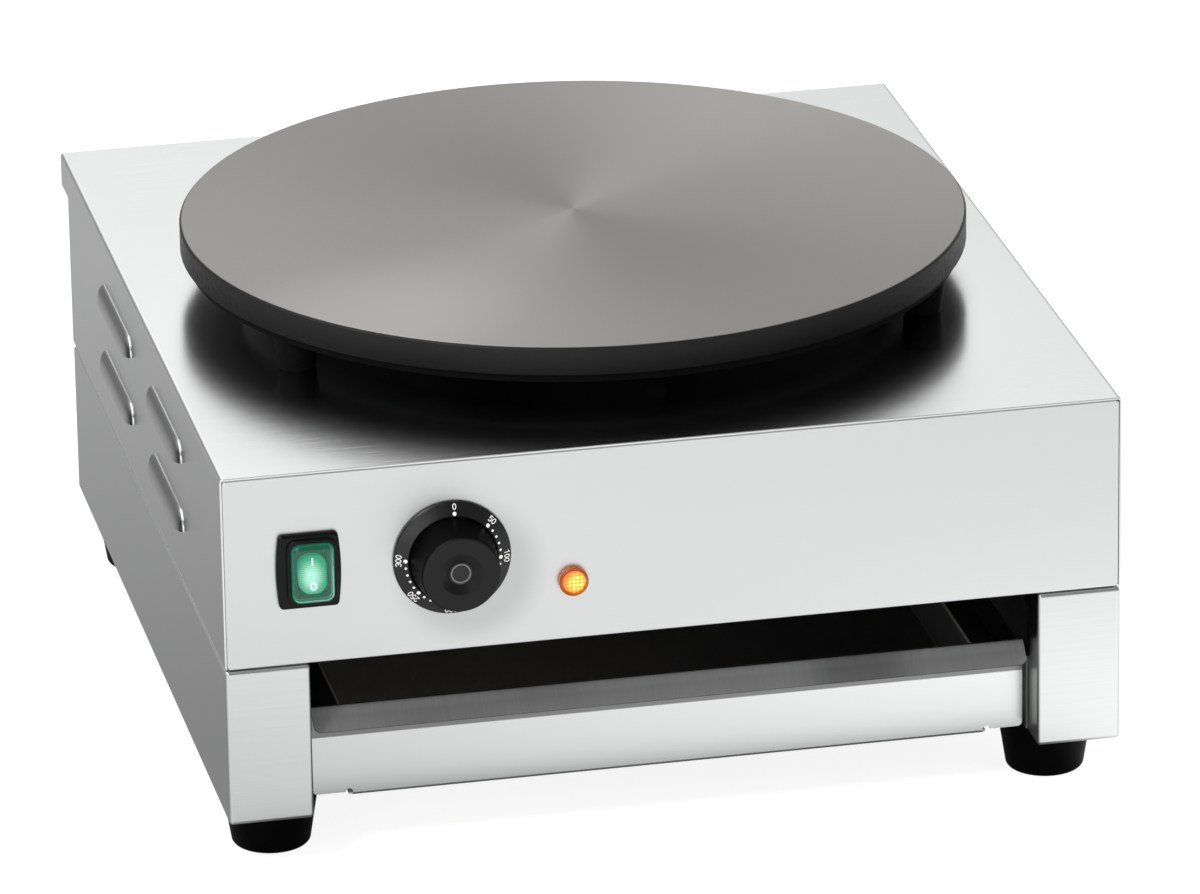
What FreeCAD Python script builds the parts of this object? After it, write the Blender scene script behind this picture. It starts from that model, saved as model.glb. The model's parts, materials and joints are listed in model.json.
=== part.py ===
import FreeCAD, Part
import math
import os

from FreeCAD import Rotation
from FreeCAD import Vector as V

# Countertop electric crepe maker: a sheet-steel housing on two hollow base rails with rubber feet,
# a round cast griddle plate standing on three lugs, a control panel in front and a drip drawer below.
# Row frame, millimetres: +X to the user's right, +Y to the rear, +Z up. The origin lies on the
# standing surface, at the middle of the bounding box in X and Y.

# Driving dimensions
WIDTH = 450.0
BODY_DEPTH = 465.0          # front panel face to rear panel face
REAR_LIP = 23.0             # the top sheet stands out behind the rear panel by this much
KNOB_OUT = 25.0             # dial face in front of the panel
FOOT_HEIGHT = 28.0
BASE_HEIGHT = 81.2
SEAM = 0.8                  # dark joint line between base rails and housing
HOUSING_HEIGHT = 100.0
PLATE_RISE = 36.0           # griddle surface above the housing top
PLATE_RADIUS = 200.0
SHEET = 1.0                 # stainless sheet thickness
BEND = 2.0                  # outside bend radius
PLAY = 0.1                  # gap left between neighbouring sheets
SCREW_PLAY = 0.2            # a screw hole's radius past the shank's
SMALL_HEAD = (3.8, 1.6)     # radius and height of the sheet screws' heads

# Places worked out from the driving dimensions
TOTAL_DEPTH = KNOB_OUT + BODY_DEPTH + REAR_LIP
FRONT = -TOTAL_DEPTH / 2 + KNOB_OUT
BACK = FRONT + BODY_DEPTH
MIDDLE_Y = (FRONT + BACK) / 2
LIP_END = BACK + REAR_LIP
SIDE = WIDTH / 2
BASE_BOTTOM = FOOT_HEIGHT
BASE_TOP = BASE_BOTTOM + BASE_HEIGHT
HOUSING_BOTTOM = BASE_TOP + SEAM
HOUSING_TOP = HOUSING_BOTTOM + HOUSING_HEIGHT
PLATE_TOP = HOUSING_TOP + PLATE_RISE

# Housing shell, panels and louvres
PANEL_FLANGE = 16.0         # front panel's inner flange, from its face
PANEL_EDGE = 0.8            # rounding round the front panel's face
RAW_EDGE = 0.3              # rounding of the shell's cut edge round the front panel
LIP_DROP = 17.5
PANEL_SCREW_RADIUS = 2.0
PANEL_SCREW_LENGTH = 8.0
PANEL_SCREW_INSET = 12.0
PANEL_SCREW_HEIGHTS = (9.0, 70.0)
BASE_SCREW_RADIUS = 1.75
BASE_SCREW_INSETS = (8.0, 60.0)
BOTTOM_FLANGE = 15.0
REAR_FLANGE = 12.0
LOUVRE_LENGTH = 92.0
LOUVRE_HEIGHT = 10.5
LOUVRE_OUT = 4.0
LOUVRE_CENTRES_Y = (FRONT + 159.0, FRONT + 310.0)
LOUVRE_BOTTOMS_Z = (HOUSING_BOTTOM + 29.0, HOUSING_BOTTOM + 65.5)
VENT_SLOT = (36.0, 4.0)     # length and width of a rear vent slot
VENT_ROWS = 6
VENT_PITCH = 9.0
VENT_CENTRE = (-120.0, HOUSING_BOTTOM + 50.0)

# Base rails, drawer runners and feet
LEG_WIDTH = 42.2
LEG_RETURN = 18.0
LEG_INNER = SIDE - LEG_WIDTH
RUNNER_LEDGE = 17.0
RUNNER_LIP = 11.0
RUNNER_Z = BASE_BOTTOM + 37.0
RUNNER_GAP = 3.0            # clear height between ledge and upper lip
RAIL_LIP = 10.0             # height of the rail's inner lips, above and below its long window
RIVET_RADIUS = 1.85
RIVET_HEIGHT = 5.5          # above the rail's lower side
RIVET_INSETS = (45.0, 165.0)
FOOT_X = 197.5
FOOT_INSET_Y = 42.5
FOOT_TOP_RADIUS = 23.3
FOOT_BOTTOM_RADIUS = 19.3
FOOT_EDGE = 3.0
FOOT_COLLAR = 3.0           # height of the foot's straight top
FOOT_RECESS = (8.5, 14.0)   # radius and depth of the hollow for the screw's head
FOOT_SCREW_RADIUS = 3.0
FOOT_SCREW_HEAD = (6.5, 4.0)
FOOT_NUT = (10.0, 5.0)      # across flats, and height
FOOT_WASHER_RADIUS = 6.0
STOP_THICKNESS = 2.0
STOP_HEIGHT = 2.4

# Drip drawer
DRAWER_INSET = 20.0         # drawer face behind the front panel's face
DRAWER_HALF_WIDTH = 180.0
DRAWER_FACE_BOTTOM = BASE_BOTTOM + 3.3
DRAWER_APRON_BOTTOM = BASE_BOTTOM + 1.3
DRAWER_FACE_TOP = BASE_BOTTOM + 52.0
DRAWER_FLAP_OUT = 12.0
DRAWER_FLAP_DROP = 11.0
DRAWER_FLAP_CORNER = 4.0
PAN_HALF_WIDTH = 161.0
PAN_LENGTH = 412.0
PAN_BOTTOM = BASE_BOTTOM + 8.0
PAN_FLANGE_Z = RUNNER_Z + PLAY
PAN_FLANGE_HALF = 180.0
PAN_LIP_EDGE = 0.8          # rounding where the pan's walls turn into its flanges
DRAWER_HEM = 12.0           # the apron's lower edge is turned back by this much
NOTCH_RADIUS = 1.8
NOTCH_X = PAN_HALF_WIDTH + 0.6
DRAWER_FACE = FRONT + DRAWER_INSET
PAN_FRONT = DRAWER_FACE + SHEET
PAN_REAR = PAN_FRONT + PAN_LENGTH

# Griddle plate, its lugs and the heating element under it
PLATE_Y = FRONT + 236.5
PLATE_RIM = 15.0
PLATE_CHAMFER = 1.2
PLATE_STEP_RADIUS = 197.0
PLATE_STEP = 4.0
PLATE_THICKNESS = 8.0
PLATE_CAVITY_RADIUS = 171.0
LUG_CIRCLE = 185.0
LUG_ANGLES = (210.0, 330.0, 90.0)
LUG_TOP_RADIUS = 12.0
LUG_BOTTOM_RADIUS = 9.2
STUD_RADIUS = 4.0
STUD_LENGTH = 26.0
STUD_GRIP = 12.0
STUD_HOLE_RADIUS = 4.5
STUD_WASHER = (8.0, 1.4)    # radius and thickness
STUD_NUT = (13.0, 6.5)      # across flats, and height
PLATE_UNDERSIDE = PLATE_TOP - PLATE_THICKNESS
PLATE_RIM_BOTTOM = PLATE_TOP - PLATE_RIM
PLATE_LOWEST = PLATE_RIM_BOTTOM - PLATE_STEP
ELEMENT_RADIUS = 4.0
ELEMENT_FIRST = 50.0
ELEMENT_STEP = 14.0         # each half turn is this much wider than the one before
ELEMENT_HALF_TURNS = 8
ELEMENT_BEND = 10.0
ELEMENT_Z = PLATE_UNDERSIDE - ELEMENT_RADIUS - PLAY
ELEMENT_LEG_BOTTOM = HOUSING_TOP - 26.0
INSULATION = (PLATE_LOWEST + 0.2, PLATE_LOWEST + 2.4)
COVER_RADIUS = 170.5
COVER_SCREWS = ((103.9, 60.0), (-103.9, 60.0), (14.0, -134.0))
COVER_SCREW_RADIUS = 2.5
COVER_SCREW_HEAD = (4.6, 2.2)
COVER_SCREW_BITE = 4.0      # how far the cover's screws go into the plate
LEAD_HOLES = (
    (ELEMENT_FIRST, -ELEMENT_BEND),
    (ELEMENT_FIRST + ELEMENT_STEP * ELEMENT_HALF_TURNS, ELEMENT_BEND),
)
LEAD_HOLE_RADIUS = 7.0
LEAD_BUSH_FLANGE = (9.0, 2.5)   # radius and thickness
CAPILLARY_HOLE_RADIUS = 3.0
BULB_RADIUS = 3.0
BULB_LENGTH = 64.0
BULB_Y = 89.0
CAPILLARY_RADIUS = 0.9
CAPILLARY_DROP = 12.0       # from the bulb's end to the capillary's vertical run
CAPILLARY_BEND = 8.0

# Controls on the front panel
SWITCH_CENTRE = (-181.2, HOUSING_BOTTOM + 49.4)
SWITCH_BEZEL = (32.2, 38.6)
SWITCH_BEZEL_SHIFT = -1.5   # the bezel reaches further to the left of the key
SWITCH_BULGE = 1.5
SWITCH_BEZEL_OUT = 3.0
SWITCH_COLLAR = (25.0, 34.0)
SWITCH_COLLAR_OUT = 4.6
SWITCH_BODY = (23.6, 31.6)
SWITCH_BODY_DEPTH = 21.0
CAP_SIZE = (20.9, 30.1)
CAP_OUT = 8.4
CAP_WALL = 0.8
ROCKER_SIZE = (13.8, 19.4)
ROCKER_CORNER = 5.6
ROCKER_DROP = 1.6           # the key sits this much below the middle of its cap
ROCKER_DIP = 1.0            # hollow of the key's face
ROCKER_REST_TILT = -8.0     # about +X: the upper half is pressed in
ROCKER_FACE_OUT = 5.4
DIAL_CENTRE = (-111.7, HOUSING_BOTTOM + 49.2)
DIAL_GAP = 0.6
SKIRT_RADIUS = 29.2
SKIRT_EDGE = 1.6
SKIRT_TOP = 4.4
HUB_BASE_RADIUS = 21.6
HUB_FACE_RADIUS = 19.4
DISH_RADIUS = 10.6
DISH_FLOOR_RADIUS = 6.2
DISH_DEPTH = 2.6
SHAFT_RADIUS = 3.0
SHAFT_PLAY = 0.05
SHAFT_IN = 14.0
SHAFT_OUT = 18.0
THERMOSTAT_SIZE = (44.0, 30.0, 34.0)
THERMOSTAT_SCREW_X = 14.0
THERMOSTAT_SCREW_RADIUS = 2.0
SPINDLE_HOLE_RADIUS = 5.0
LAMP_CENTRE = (-51.7, HOUSING_BOTTOM + 30.8)
LAMP_LENS_RADIUS = 7.4
LAMP_LENS_OUT = 3.6
LAMP_BODY_RADIUS = 5.8
LAMP_BODY_DEPTH = 24.0
LAMP_NUT = (16.0, 3.0)      # across flats, and height
LAMP_BLADE_X = 2.8          # the lamp's two contact blades stand this far from its axis

# Mains entry at the rear and the terminals inside
BLOCK_CENTRE = (120.0, BACK - 62.0)
BLOCK_PITCH = 14.0
BLOCK_HALF_DEPTH = 9.0
EARTH_PLACE = (70.0, BACK - 50.0)
WIRE_RADIUS = 1.3
WIRE_BEND = 6.0
SWITCH_BLADE = (6.0, 9.0)   # the switch's blades stand this far from its centre in X and Z
GLAND_CENTRE = (150.0, HOUSING_BOTTOM + 32.0)
GLAND_BORE = 4.6
GLAND_THREAD = 10.0
GLAND_HEX = 24.0            # across flats
GLAND_LENGTH = 20.0
GLAND_NUT = (26.0, 4.0)     # the locknut's width across flats, and its height


def box(x0, x1, y0, y1, z0, z1):
    """A block between two corners."""
    return Part.makeBox(x1 - x0, y1 - y0, z1 - z0, V(x0, y0, z0))


def cylinder(radius, start, direction, length):
    return Part.makeCylinder(radius, length, V(*start), V(*direction))


def pick_edges(shape, wanted):
    """The edges whose end points and middle all satisfy wanted(point)."""
    found = []
    for edge in shape.Edges:
        first, last = edge.ParameterRange
        points = [edge.valueAt(first), edge.valueAt((first + last) / 2), edge.valueAt(last)]
        if all(wanted(p) for p in points):
            found.append(edge)
    return found


def near(value, target):
    return abs(value - target) < 1e-4


def soften(shape, radius, wanted):
    return shape.makeFillet(radius, pick_edges(shape, wanted))


def soft_box(x0, x1, y0, y1, z0, z1, radius):
    """A block with every edge rounded."""
    block = box(x0, x1, y0, y1, z0, z1)
    return block.makeFillet(radius, block.Edges)


def turned(profile, centre, direction):
    """A solid of revolution: profile holds (radius, distance along direction) pairs and starts and
    ends on the axis."""
    axis = V(*direction).normalize()
    side = V(1, 0, 0) if abs(axis.x) < 0.5 else V(0, 1, 0)
    points = [V(*centre) + side * r + axis * h for r, h in profile]
    face = Part.Face(Part.makePolygon(points + [points[0]]))
    return face.revolve(V(*centre), axis, 360)


def hexagon(across_flats, centre, direction, length):
    """A hexagonal prism, such as a nut's outside."""
    radius = across_flats / math.sqrt(3)
    corners = [
        V(radius * math.cos(math.radians(60 * k)), radius * math.sin(math.radians(60 * k)), 0)
        for k in range(7)
    ]
    prism = Part.Face(Part.makePolygon(corners)).extrude(V(0, 0, length))
    prism.Placement = FreeCAD.Placement(V(*centre), Rotation(V(0, 0, 1), V(*direction)))
    return prism


def rounded_path(points, radius):
    """Straight runs between the points, joined by tangent arcs of one radius."""
    corners = [V(*p) for p in points]
    edges = []
    start = corners[0]
    for before, corner, after in zip(corners, corners[1:], corners[2:]):
        back = (before - corner).normalize()
        ahead = (after - corner).normalize()
        half = back.getAngle(ahead) / 2
        setback = radius / math.tan(half)
        first = corner + back * setback
        last = corner + ahead * setback
        middle_way = (back + ahead).normalize()
        middle = corner + middle_way * (radius / math.sin(half) - radius)
        edges.append(Part.LineSegment(start, first).toShape())
        edges.append(Part.Arc(first, middle, last).toShape())
        start = last
    edges.append(Part.LineSegment(start, corners[-1]).toShape())
    return Part.Wire(edges)


def tube_along(path, radius):
    """A round bar swept along a wire."""
    edge = path.OrderedEdges[0]
    start = edge.valueAt(edge.FirstParameter)
    direction = edge.tangentAt(edge.FirstParameter)
    ring = Part.Wire([Part.Circle(start, direction, radius).toShape()])
    return path.makePipeShell([ring], True, False)


def mirrored(shape):
    """The same piece on the other side of the YZ plane."""
    return shape.mirror(V(0, 0, 0), V(1, 0, 0))


def turned_round(shape):
    """The same piece turned half round about the upright line through the housing's middle."""
    other = shape.copy()
    other.rotate(V(0, MIDDLE_Y, 0), V(0, 0, 1), 180)
    return other


def group(shapes):
    return Part.makeCompound(shapes)


def lug_places():
    """The three lug axes, as (x, y)."""
    return [
        (
            LUG_CIRCLE * math.cos(math.radians(a)),
            PLATE_Y + LUG_CIRCLE * math.sin(math.radians(a)),
        )
        for a in LUG_ANGLES
    ]


def foot_places():
    front, rear = FRONT + FOOT_INSET_Y, BACK - FOOT_INSET_Y
    return {
        "front_left": (-FOOT_X, front),
        "front_right": (FOOT_X, front),
        "rear_left": (-FOOT_X, rear),
        "rear_right": (FOOT_X, rear),
    }


def capillary_hole():
    """Where the capillary goes down through cover and top sheet, as (x, y)."""
    return -BULB_LENGTH / 2 - CAPILLARY_DROP, PLATE_Y + BULB_Y


# Housing

def louvre_body(length, height, out, sunk):
    """Half a louvre's pressed form along Y: a quarter ellipse across, turned at both ends. Its flat
    lower side is at z = 0, it stands out in +X from the plane x = 0 and goes sunk deep behind it."""
    ellipse = Part.Ellipse(V(0, 0, height), V(out, 0, 0), V(0, 0, 0))
    curve = Part.ArcOfEllipse(ellipse, 0, math.pi / 2).toShape()
    straight = Part.makePolygon([V(out, 0, 0), V(-sunk, 0, 0), V(-sunk, 0, height), V(0, 0, height)])
    section = Part.Face(Part.Wire([curve] + straight.Edges))
    half = length / 2 - height
    section.translate(V(0, -half, 0))
    middle = section.extrude(V(0, 2 * half, 0))
    near_end = section.revolve(V(0, -half, 0), V(1, 0, 0), 90)
    section.translate(V(0, 2 * half, 0))
    far_end = section.revolve(V(0, half, 0), V(1, 0, 0), -90)
    return middle.fuse([near_end, far_end]).removeSplitter()


def press_louvres(shell):
    """Two rows of two louvres in each side sheet, each open at its lower edge."""
    skins, windows = [], []
    for y in LOUVRE_CENTRES_Y:
        for z in LOUVRE_BOTTOMS_Z:
            skin = louvre_body(LOUVRE_LENGTH, LOUVRE_HEIGHT, LOUVRE_OUT, SHEET / 2)
            window = louvre_body(
                LOUVRE_LENGTH - 2 * SHEET, LOUVRE_HEIGHT - SHEET, LOUVRE_OUT - SHEET, 2 * SHEET
            )
            for body, bodies in ((skin, skins), (window, windows)):
                body.translate(V(SIDE, y, z))
                bodies += [body, mirrored(body)]
    return shell.fuse(skins).cut(windows)


def housing_shell():
    """Top sheet and both sides in one bent piece, with the lip that stands out at the rear."""
    outer = box(-SIDE, SIDE, FRONT, BACK, HOUSING_BOTTOM, HOUSING_TOP)
    lip = box(-SIDE, SIDE, BACK, LIP_END, HOUSING_TOP - LIP_DROP, HOUSING_TOP)
    outer = outer.fuse(lip).removeSplitter()
    outer = soften(outer, BEND, lambda p: near(p.z, HOUSING_TOP) and near(abs(p.x), SIDE))
    outer = soften(outer, BEND, lambda p: near(p.z, HOUSING_TOP) and near(p.y, LIP_END))
    outer = soften(outer, BEND, lambda p: near(p.z, HOUSING_BOTTOM) and near(abs(p.x), SIDE))
    outer = soften(outer, RAW_EDGE, lambda p: near(p.y, FRONT))
    inner_side = SIDE - SHEET
    open_front = FRONT - 1
    lip_z = HOUSING_TOP - LIP_DROP
    upper = box(-inner_side, inner_side, open_front, LIP_END - SHEET, lip_z - 1, HOUSING_TOP - SHEET)
    lower = box(-inner_side, inner_side, open_front, BACK + 1, HOUSING_BOTTOM + SHEET, lip_z)
    hollow = upper.fuse(lower).removeSplitter()
    ceiling = HOUSING_TOP - SHEET
    hollow = soften(hollow, BEND - SHEET, lambda p: near(p.z, ceiling) and near(abs(p.x), inner_side))
    inner_edge = SIDE - BOTTOM_FLANGE
    floor_cut = box(-inner_edge, inner_edge, open_front, BACK + 1, HOUSING_BOTTOM - 1, HOUSING_BOTTOM + 2)
    panel_cut = box(
        -inner_side, inner_side, open_front, FRONT + PANEL_FLANGE + 1, HOUSING_BOTTOM - 1, HOUSING_BOTTOM + 2
    )
    shell = outer.cut(hollow).cut(floor_cut).cut(panel_cut)
    for x, y in lug_places():
        shell = shell.cut(cylinder(STUD_HOLE_RADIUS, (x, y, HOUSING_TOP - 5), (0, 0, 1), 10))
    for x, y in LEAD_HOLES:
        shell = shell.cut(cylinder(LEAD_HOLE_RADIUS, (x, PLATE_Y + y, HOUSING_TOP - 5), (0, 0, 1), 10))
    x, y = capillary_hole()
    shell = shell.cut(cylinder(CAPILLARY_HOLE_RADIUS, (x, y, HOUSING_TOP - 5), (0, 0, 1), 10))
    for x, y in base_screw_places():
        shell = shell.cut(base_screw_hole(x, y, HOUSING_BOTTOM))
    return press_louvres(shell)


def base_screw_places():
    """Screws that hold the housing down on the base rails, as (x, y)."""
    inset_x, inset_y = BASE_SCREW_INSETS
    rows = (FRONT + inset_y, MIDDLE_Y, BACK - inset_y)
    return [(side * (SIDE - inset_x), y) for side in (-1, 1) for y in rows]


def base_screw_hole(x, y, z):
    """A hole for a base screw through the sheet that lies at the height z."""
    return cylinder(BASE_SCREW_RADIUS + SCREW_PLAY, (x, y, z - 2), (0, 0, 1), 4)


def panel_block(inset, y0, y1, corner, bottom_inset=None):
    """A block across the housing's opening, set in on all four sides, with rounded corners."""
    x = SIDE - inset
    bottom = HOUSING_BOTTOM + (inset if bottom_inset is None else bottom_inset)
    top = HOUSING_TOP - inset
    block = box(-x, x, y0, y1, bottom, top)
    return soften(block, corner, lambda p: near(abs(p.x), x) and (near(p.z, bottom) or near(p.z, top)))


def front_panel():
    """Control panel: a shallow pan that slips into the shell until both are flush."""
    inset = SHEET + PLAY
    outer = panel_block(inset, FRONT, FRONT + PANEL_FLANGE, BEND, PLAY)
    outer = soften(outer, PANEL_EDGE, lambda p: near(p.y, FRONT))
    behind = FRONT + PANEL_FLANGE + 1
    hollow = panel_block(inset + SHEET, FRONT + SHEET, behind, BEND - SHEET, PLAY + SHEET)
    panel = outer.cut(hollow)
    sx, sz = SWITCH_CENTRE
    half_w, half_h = SWITCH_BODY[0] / 2 + 0.3, SWITCH_BODY[1] / 2 + 0.3
    panel = panel.cut(box(sx - half_w, sx + half_w, FRONT - 1, FRONT + 3, sz - half_h, sz + half_h))
    dx, dz = DIAL_CENTRE
    panel = panel.cut(cylinder(SPINDLE_HOLE_RADIUS, (dx, FRONT - 1, dz), (0, 1, 0), 4))
    hole = THERMOSTAT_SCREW_RADIUS + PLAY
    for side in (-1, 1):
        panel = panel.cut(cylinder(hole, (dx + side * THERMOSTAT_SCREW_X, FRONT - 1, dz), (0, 1, 0), 4))
    lx, lz = LAMP_CENTRE
    return panel.cut(cylinder(LAMP_BODY_RADIUS + 0.2, (lx, FRONT - 1, lz), (0, 1, 0), 4))


def rear_screw_places():
    """Screws of the rear panel, as (x, z)."""
    half_x = SIDE - PANEL_SCREW_INSET
    low, high = (HOUSING_BOTTOM + height for height in PANEL_SCREW_HEIGHTS)
    return [(-half_x, low), (0.0, low), (half_x, low), (-half_x, high), (half_x, high)]


def rear_panel():
    """Removable back of the housing, with vent slots and the cable entry."""
    inset = SHEET + PLAY
    outer = panel_block(inset, BACK - REAR_FLANGE, BACK, BEND)
    outer = soften(outer, BEND - 0.5, lambda p: near(p.y, BACK))
    panel = outer.cut(panel_block(inset + SHEET, BACK - REAR_FLANGE - 1, BACK - SHEET, BEND - SHEET))
    length, width = VENT_SLOT
    vx, vz = VENT_CENTRE
    for row in range(VENT_ROWS):
        z = vz + (row - (VENT_ROWS - 1) / 2) * VENT_PITCH
        for side in (-1, 1):
            x = vx + side * (length / 2 + 6)
            slot = box(x - length / 2, x + length / 2, BACK - 3, BACK + 1, z - width / 2, z + width / 2)
            ends = pick_edges(slot, lambda p: near(abs(p.x - x), length / 2) and not near(p.z, z))
            panel = panel.cut(slot.makeFillet(0.98 * width / 2, ends))
    gx, gz = GLAND_CENTRE
    panel = panel.cut(cylinder(GLAND_THREAD + 0.2, (gx, BACK - 3, gz), (0, 1, 0), 5))
    for x, z in rear_screw_places():
        panel = panel.cut(cylinder(PANEL_SCREW_RADIUS + SCREW_PLAY, (x, BACK - 3, z), (0, 1, 0), 5))
    return panel


def housing_floor():
    """Sheet that closes the electrical space towards the drawer, clamped between housing and base."""
    plate = box(-SIDE + 3, SIDE - 3, FRONT + 3, BACK - 3, BASE_TOP, HOUSING_BOTTOM)
    for x, y in base_screw_places():
        plate = plate.cut(base_screw_hole(x, y, BASE_TOP))
    return plate


def rear_screws():
    screws = []
    for x, z in rear_screw_places():
        seat = (x, BACK, z)
        screws.append(dome_screw(seat, (0, 1, 0), PANEL_SCREW_RADIUS, *SMALL_HEAD, PANEL_SCREW_LENGTH))
    return group(screws)


def dome_screw(seat, direction, shank_radius, head_radius, head_height, length):
    """A round-headed screw: direction points out of the head, and the shank goes the other way."""
    edge = 0.4 * head_height
    profile = [
        (0, -length),
        (shank_radius, -length),
        (shank_radius, 0),
        (head_radius, 0),
        (head_radius, edge),
        (0.86 * head_radius, 0.75 * head_height),
        (0.6 * head_radius, head_height),
        (0, head_height),
    ]
    screw = turned(profile, seat, direction)
    recess_depth = 0.6 * head_height
    top = V(*seat) + V(*direction) * (head_height - recess_depth)
    return screw.cut(hexagon(head_radius, top, direction, recess_depth + 1))


def base_screws():
    """Screws put in from inside the rails; three millimetres of each stand out past its last sheet."""
    seat = BASE_TOP - SHEET
    length = HOUSING_BOTTOM + SHEET - seat + 3
    screws = []
    for x, y in base_screw_places():
        screws.append(dome_screw((x, y, seat), (0, 0, -1), BASE_SCREW_RADIUS, *SMALL_HEAD, length))
    return group(screws)


# Base

def base_rail():
    """The right-hand rail: a box-section leg at each end and a channel open to the drawer between."""
    outer = soft_box(LEG_INNER, SIDE, FRONT, BACK, BASE_BOTTOM, BASE_TOP, BEND)
    x0, x1 = LEG_INNER + SHEET, SIDE - SHEET
    inner = soft_box(x0, x1, FRONT + SHEET, BACK - SHEET, BASE_BOTTOM + SHEET, BASE_TOP - SHEET, BEND - SHEET)
    y0, y1 = FRONT + LEG_RETURN, BACK - LEG_RETURN
    window = box(LEG_INNER - 1, x0 + 0.5, y0, y1, BASE_BOTTOM + RAIL_LIP, BASE_TOP - RAIL_LIP)
    rail = outer.cut(inner).cut(window)
    for y, z in rivet_places():
        rail = rail.cut(cylinder(RIVET_RADIUS + PLAY, (LEG_INNER - 1, y, z), (1, 0, 0), 3))
    for name in ("front_right", "rear_right"):
        x, y = foot_places()[name]
        rail = rail.cut(cylinder(FOOT_SCREW_RADIUS + 0.3, (x, y, BASE_BOTTOM - 1), (0, 0, 1), 4))
    for x, y in base_screw_places():
        if x > 0:
            rail = rail.cut(base_screw_hole(x, y, BASE_TOP))
    return rail


def rear_base_panel():
    """Closes the base between the rear legs."""
    half = LEG_INNER - PLAY
    y1 = BACK - 2.0
    outer = box(-half, half, y1 - 14, y1, BASE_BOTTOM + 3, BASE_TOP)
    outer = soften(outer, BEND, lambda p: near(p.y, y1) and near(abs(p.x), half))
    hollow = box(-half + SHEET, half - SHEET, y1 - 15, y1 - SHEET, BASE_BOTTOM + 2, BASE_TOP - SHEET)
    return outer.cut(hollow)


def rivet_places():
    """Rivets through each runner's web and the rail's lower lip, as (y, z)."""
    z = BASE_BOTTOM + RIVET_HEIGHT
    return [(y, z) for inset in RIVET_INSETS for y in (FRONT + inset, BACK - inset)]


def runner():
    """The right-hand drawer runner: a web riveted to the rail, a ledge and an upper lip."""
    y0, y1 = FRONT + LEG_RETURN + 1, BACK - LEG_RETURN - 1
    ledge_y0 = DRAWER_FACE + SHEET + 1
    web_out = LEG_INNER - PLAY
    web_in = web_out - SHEET
    top = RUNNER_Z + RUNNER_GAP + SHEET
    web = box(web_in, web_out, y0, y1, BASE_BOTTOM + 2, top)
    ledge = box(web_out - RUNNER_LEDGE, web_out, ledge_y0, y1, RUNNER_Z - SHEET, RUNNER_Z)
    lip = box(web_out - RUNNER_LIP, web_out, ledge_y0, y1, RUNNER_Z + RUNNER_GAP, top)
    slide = web.fuse(ledge).fuse(lip).removeSplitter()
    for y, z in rivet_places():
        slide = slide.cut(cylinder(RIVET_RADIUS + PLAY, (web_in - 1, y, z), (1, 0, 0), 3))
    return slide


def runner_rivets():
    """Domed rivets, four to a side."""
    face = LEG_INNER - PLAY - SHEET
    grip = 2 * SHEET + PLAY
    rivets = []
    for y, z in rivet_places():
        rivet = dome_rivet((face, y, z), grip)
        rivets += [rivet, mirrored(rivet)]
    return group(rivets)


def dome_rivet(seat, grip):
    """A rivet along X: its head lies on the seat, and its upset end is past the grip."""
    r = RIVET_RADIUS
    profile = [(0, -1.4), (1.1 * r, -1.3), (1.8 * r, -0.5), (1.8 * r, 0), (r, 0), (r, grip)]
    profile += [(1.5 * r, grip), (1.4 * r, grip + 0.9), (0, grip + 1.1)]
    return turned(profile, seat, (1, 0, 0))


def drawer_stops():
    """Folded tabs at the runners' rear ends, which the drawer's flanges meet when it is shut."""
    tabs = []
    for side in (-1, 1):
        x0, x1 = sorted((side * (LEG_INNER - 12.5), side * (LEG_INNER - PLAY - SHEET)))
        z0 = RUNNER_Z + (RUNNER_GAP - STOP_HEIGHT) / 2
        y0 = PAN_REAR + 1.0
        tabs.append(box(x0, x1, y0, y0 + STOP_THICKNESS, z0, z0 + STOP_HEIGHT))
    return group(tabs)


def rubber_foot(place):
    x, y = place
    profile = [
        (0, 0),
        (FOOT_BOTTOM_RADIUS, 0),
        (FOOT_TOP_RADIUS, FOOT_HEIGHT - FOOT_COLLAR),
        (FOOT_TOP_RADIUS, FOOT_HEIGHT),
        (0, FOOT_HEIGHT),
    ]
    foot = turned(profile, (x, y, 0), (0, 0, 1))
    foot = soften(foot, FOOT_EDGE, lambda p: near(p.z, 0))
    recess_radius, depth = FOOT_RECESS
    recess = cylinder(recess_radius, (x, y, -1), (0, 0, 1), depth + 1)
    hole = cylinder(FOOT_SCREW_RADIUS + PLAY, (x, y, 0), (0, 0, 1), FOOT_HEIGHT + 1)
    return foot.cut(recess).cut(hole)


def foot_screws():
    """Screws from each foot's hollow, up through the rail and its nut."""
    seat = FOOT_RECESS[1]
    shank = FOOT_HEIGHT - seat + SHEET + 8
    screws = []
    for x, y in foot_places().values():
        screws.append(dome_screw((x, y, seat), (0, 0, -1), FOOT_SCREW_RADIUS, *FOOT_SCREW_HEAD, shank))
    return group(screws)


def foot_nuts():
    """Nuts with thick washers on the rails' lower flanges."""
    across, height = FOOT_NUT
    z = BASE_BOTTOM + SHEET
    thick = 2 * SHEET + 2 * PLAY
    nuts = []
    for x, y in foot_places().values():
        nut = hexagon(across, (x, y, z + thick), (0, 0, 1), height)
        nut = nut.fuse(cylinder(FOOT_WASHER_RADIUS, (x, y, z), (0, 0, 1), thick))
        nuts.append(nut.cut(cylinder(FOOT_SCREW_RADIUS + PLAY / 2, (x, y, z - 1), (0, 0, 1), 12)))
    return group(nuts)


# Griddle plate and heating

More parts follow.
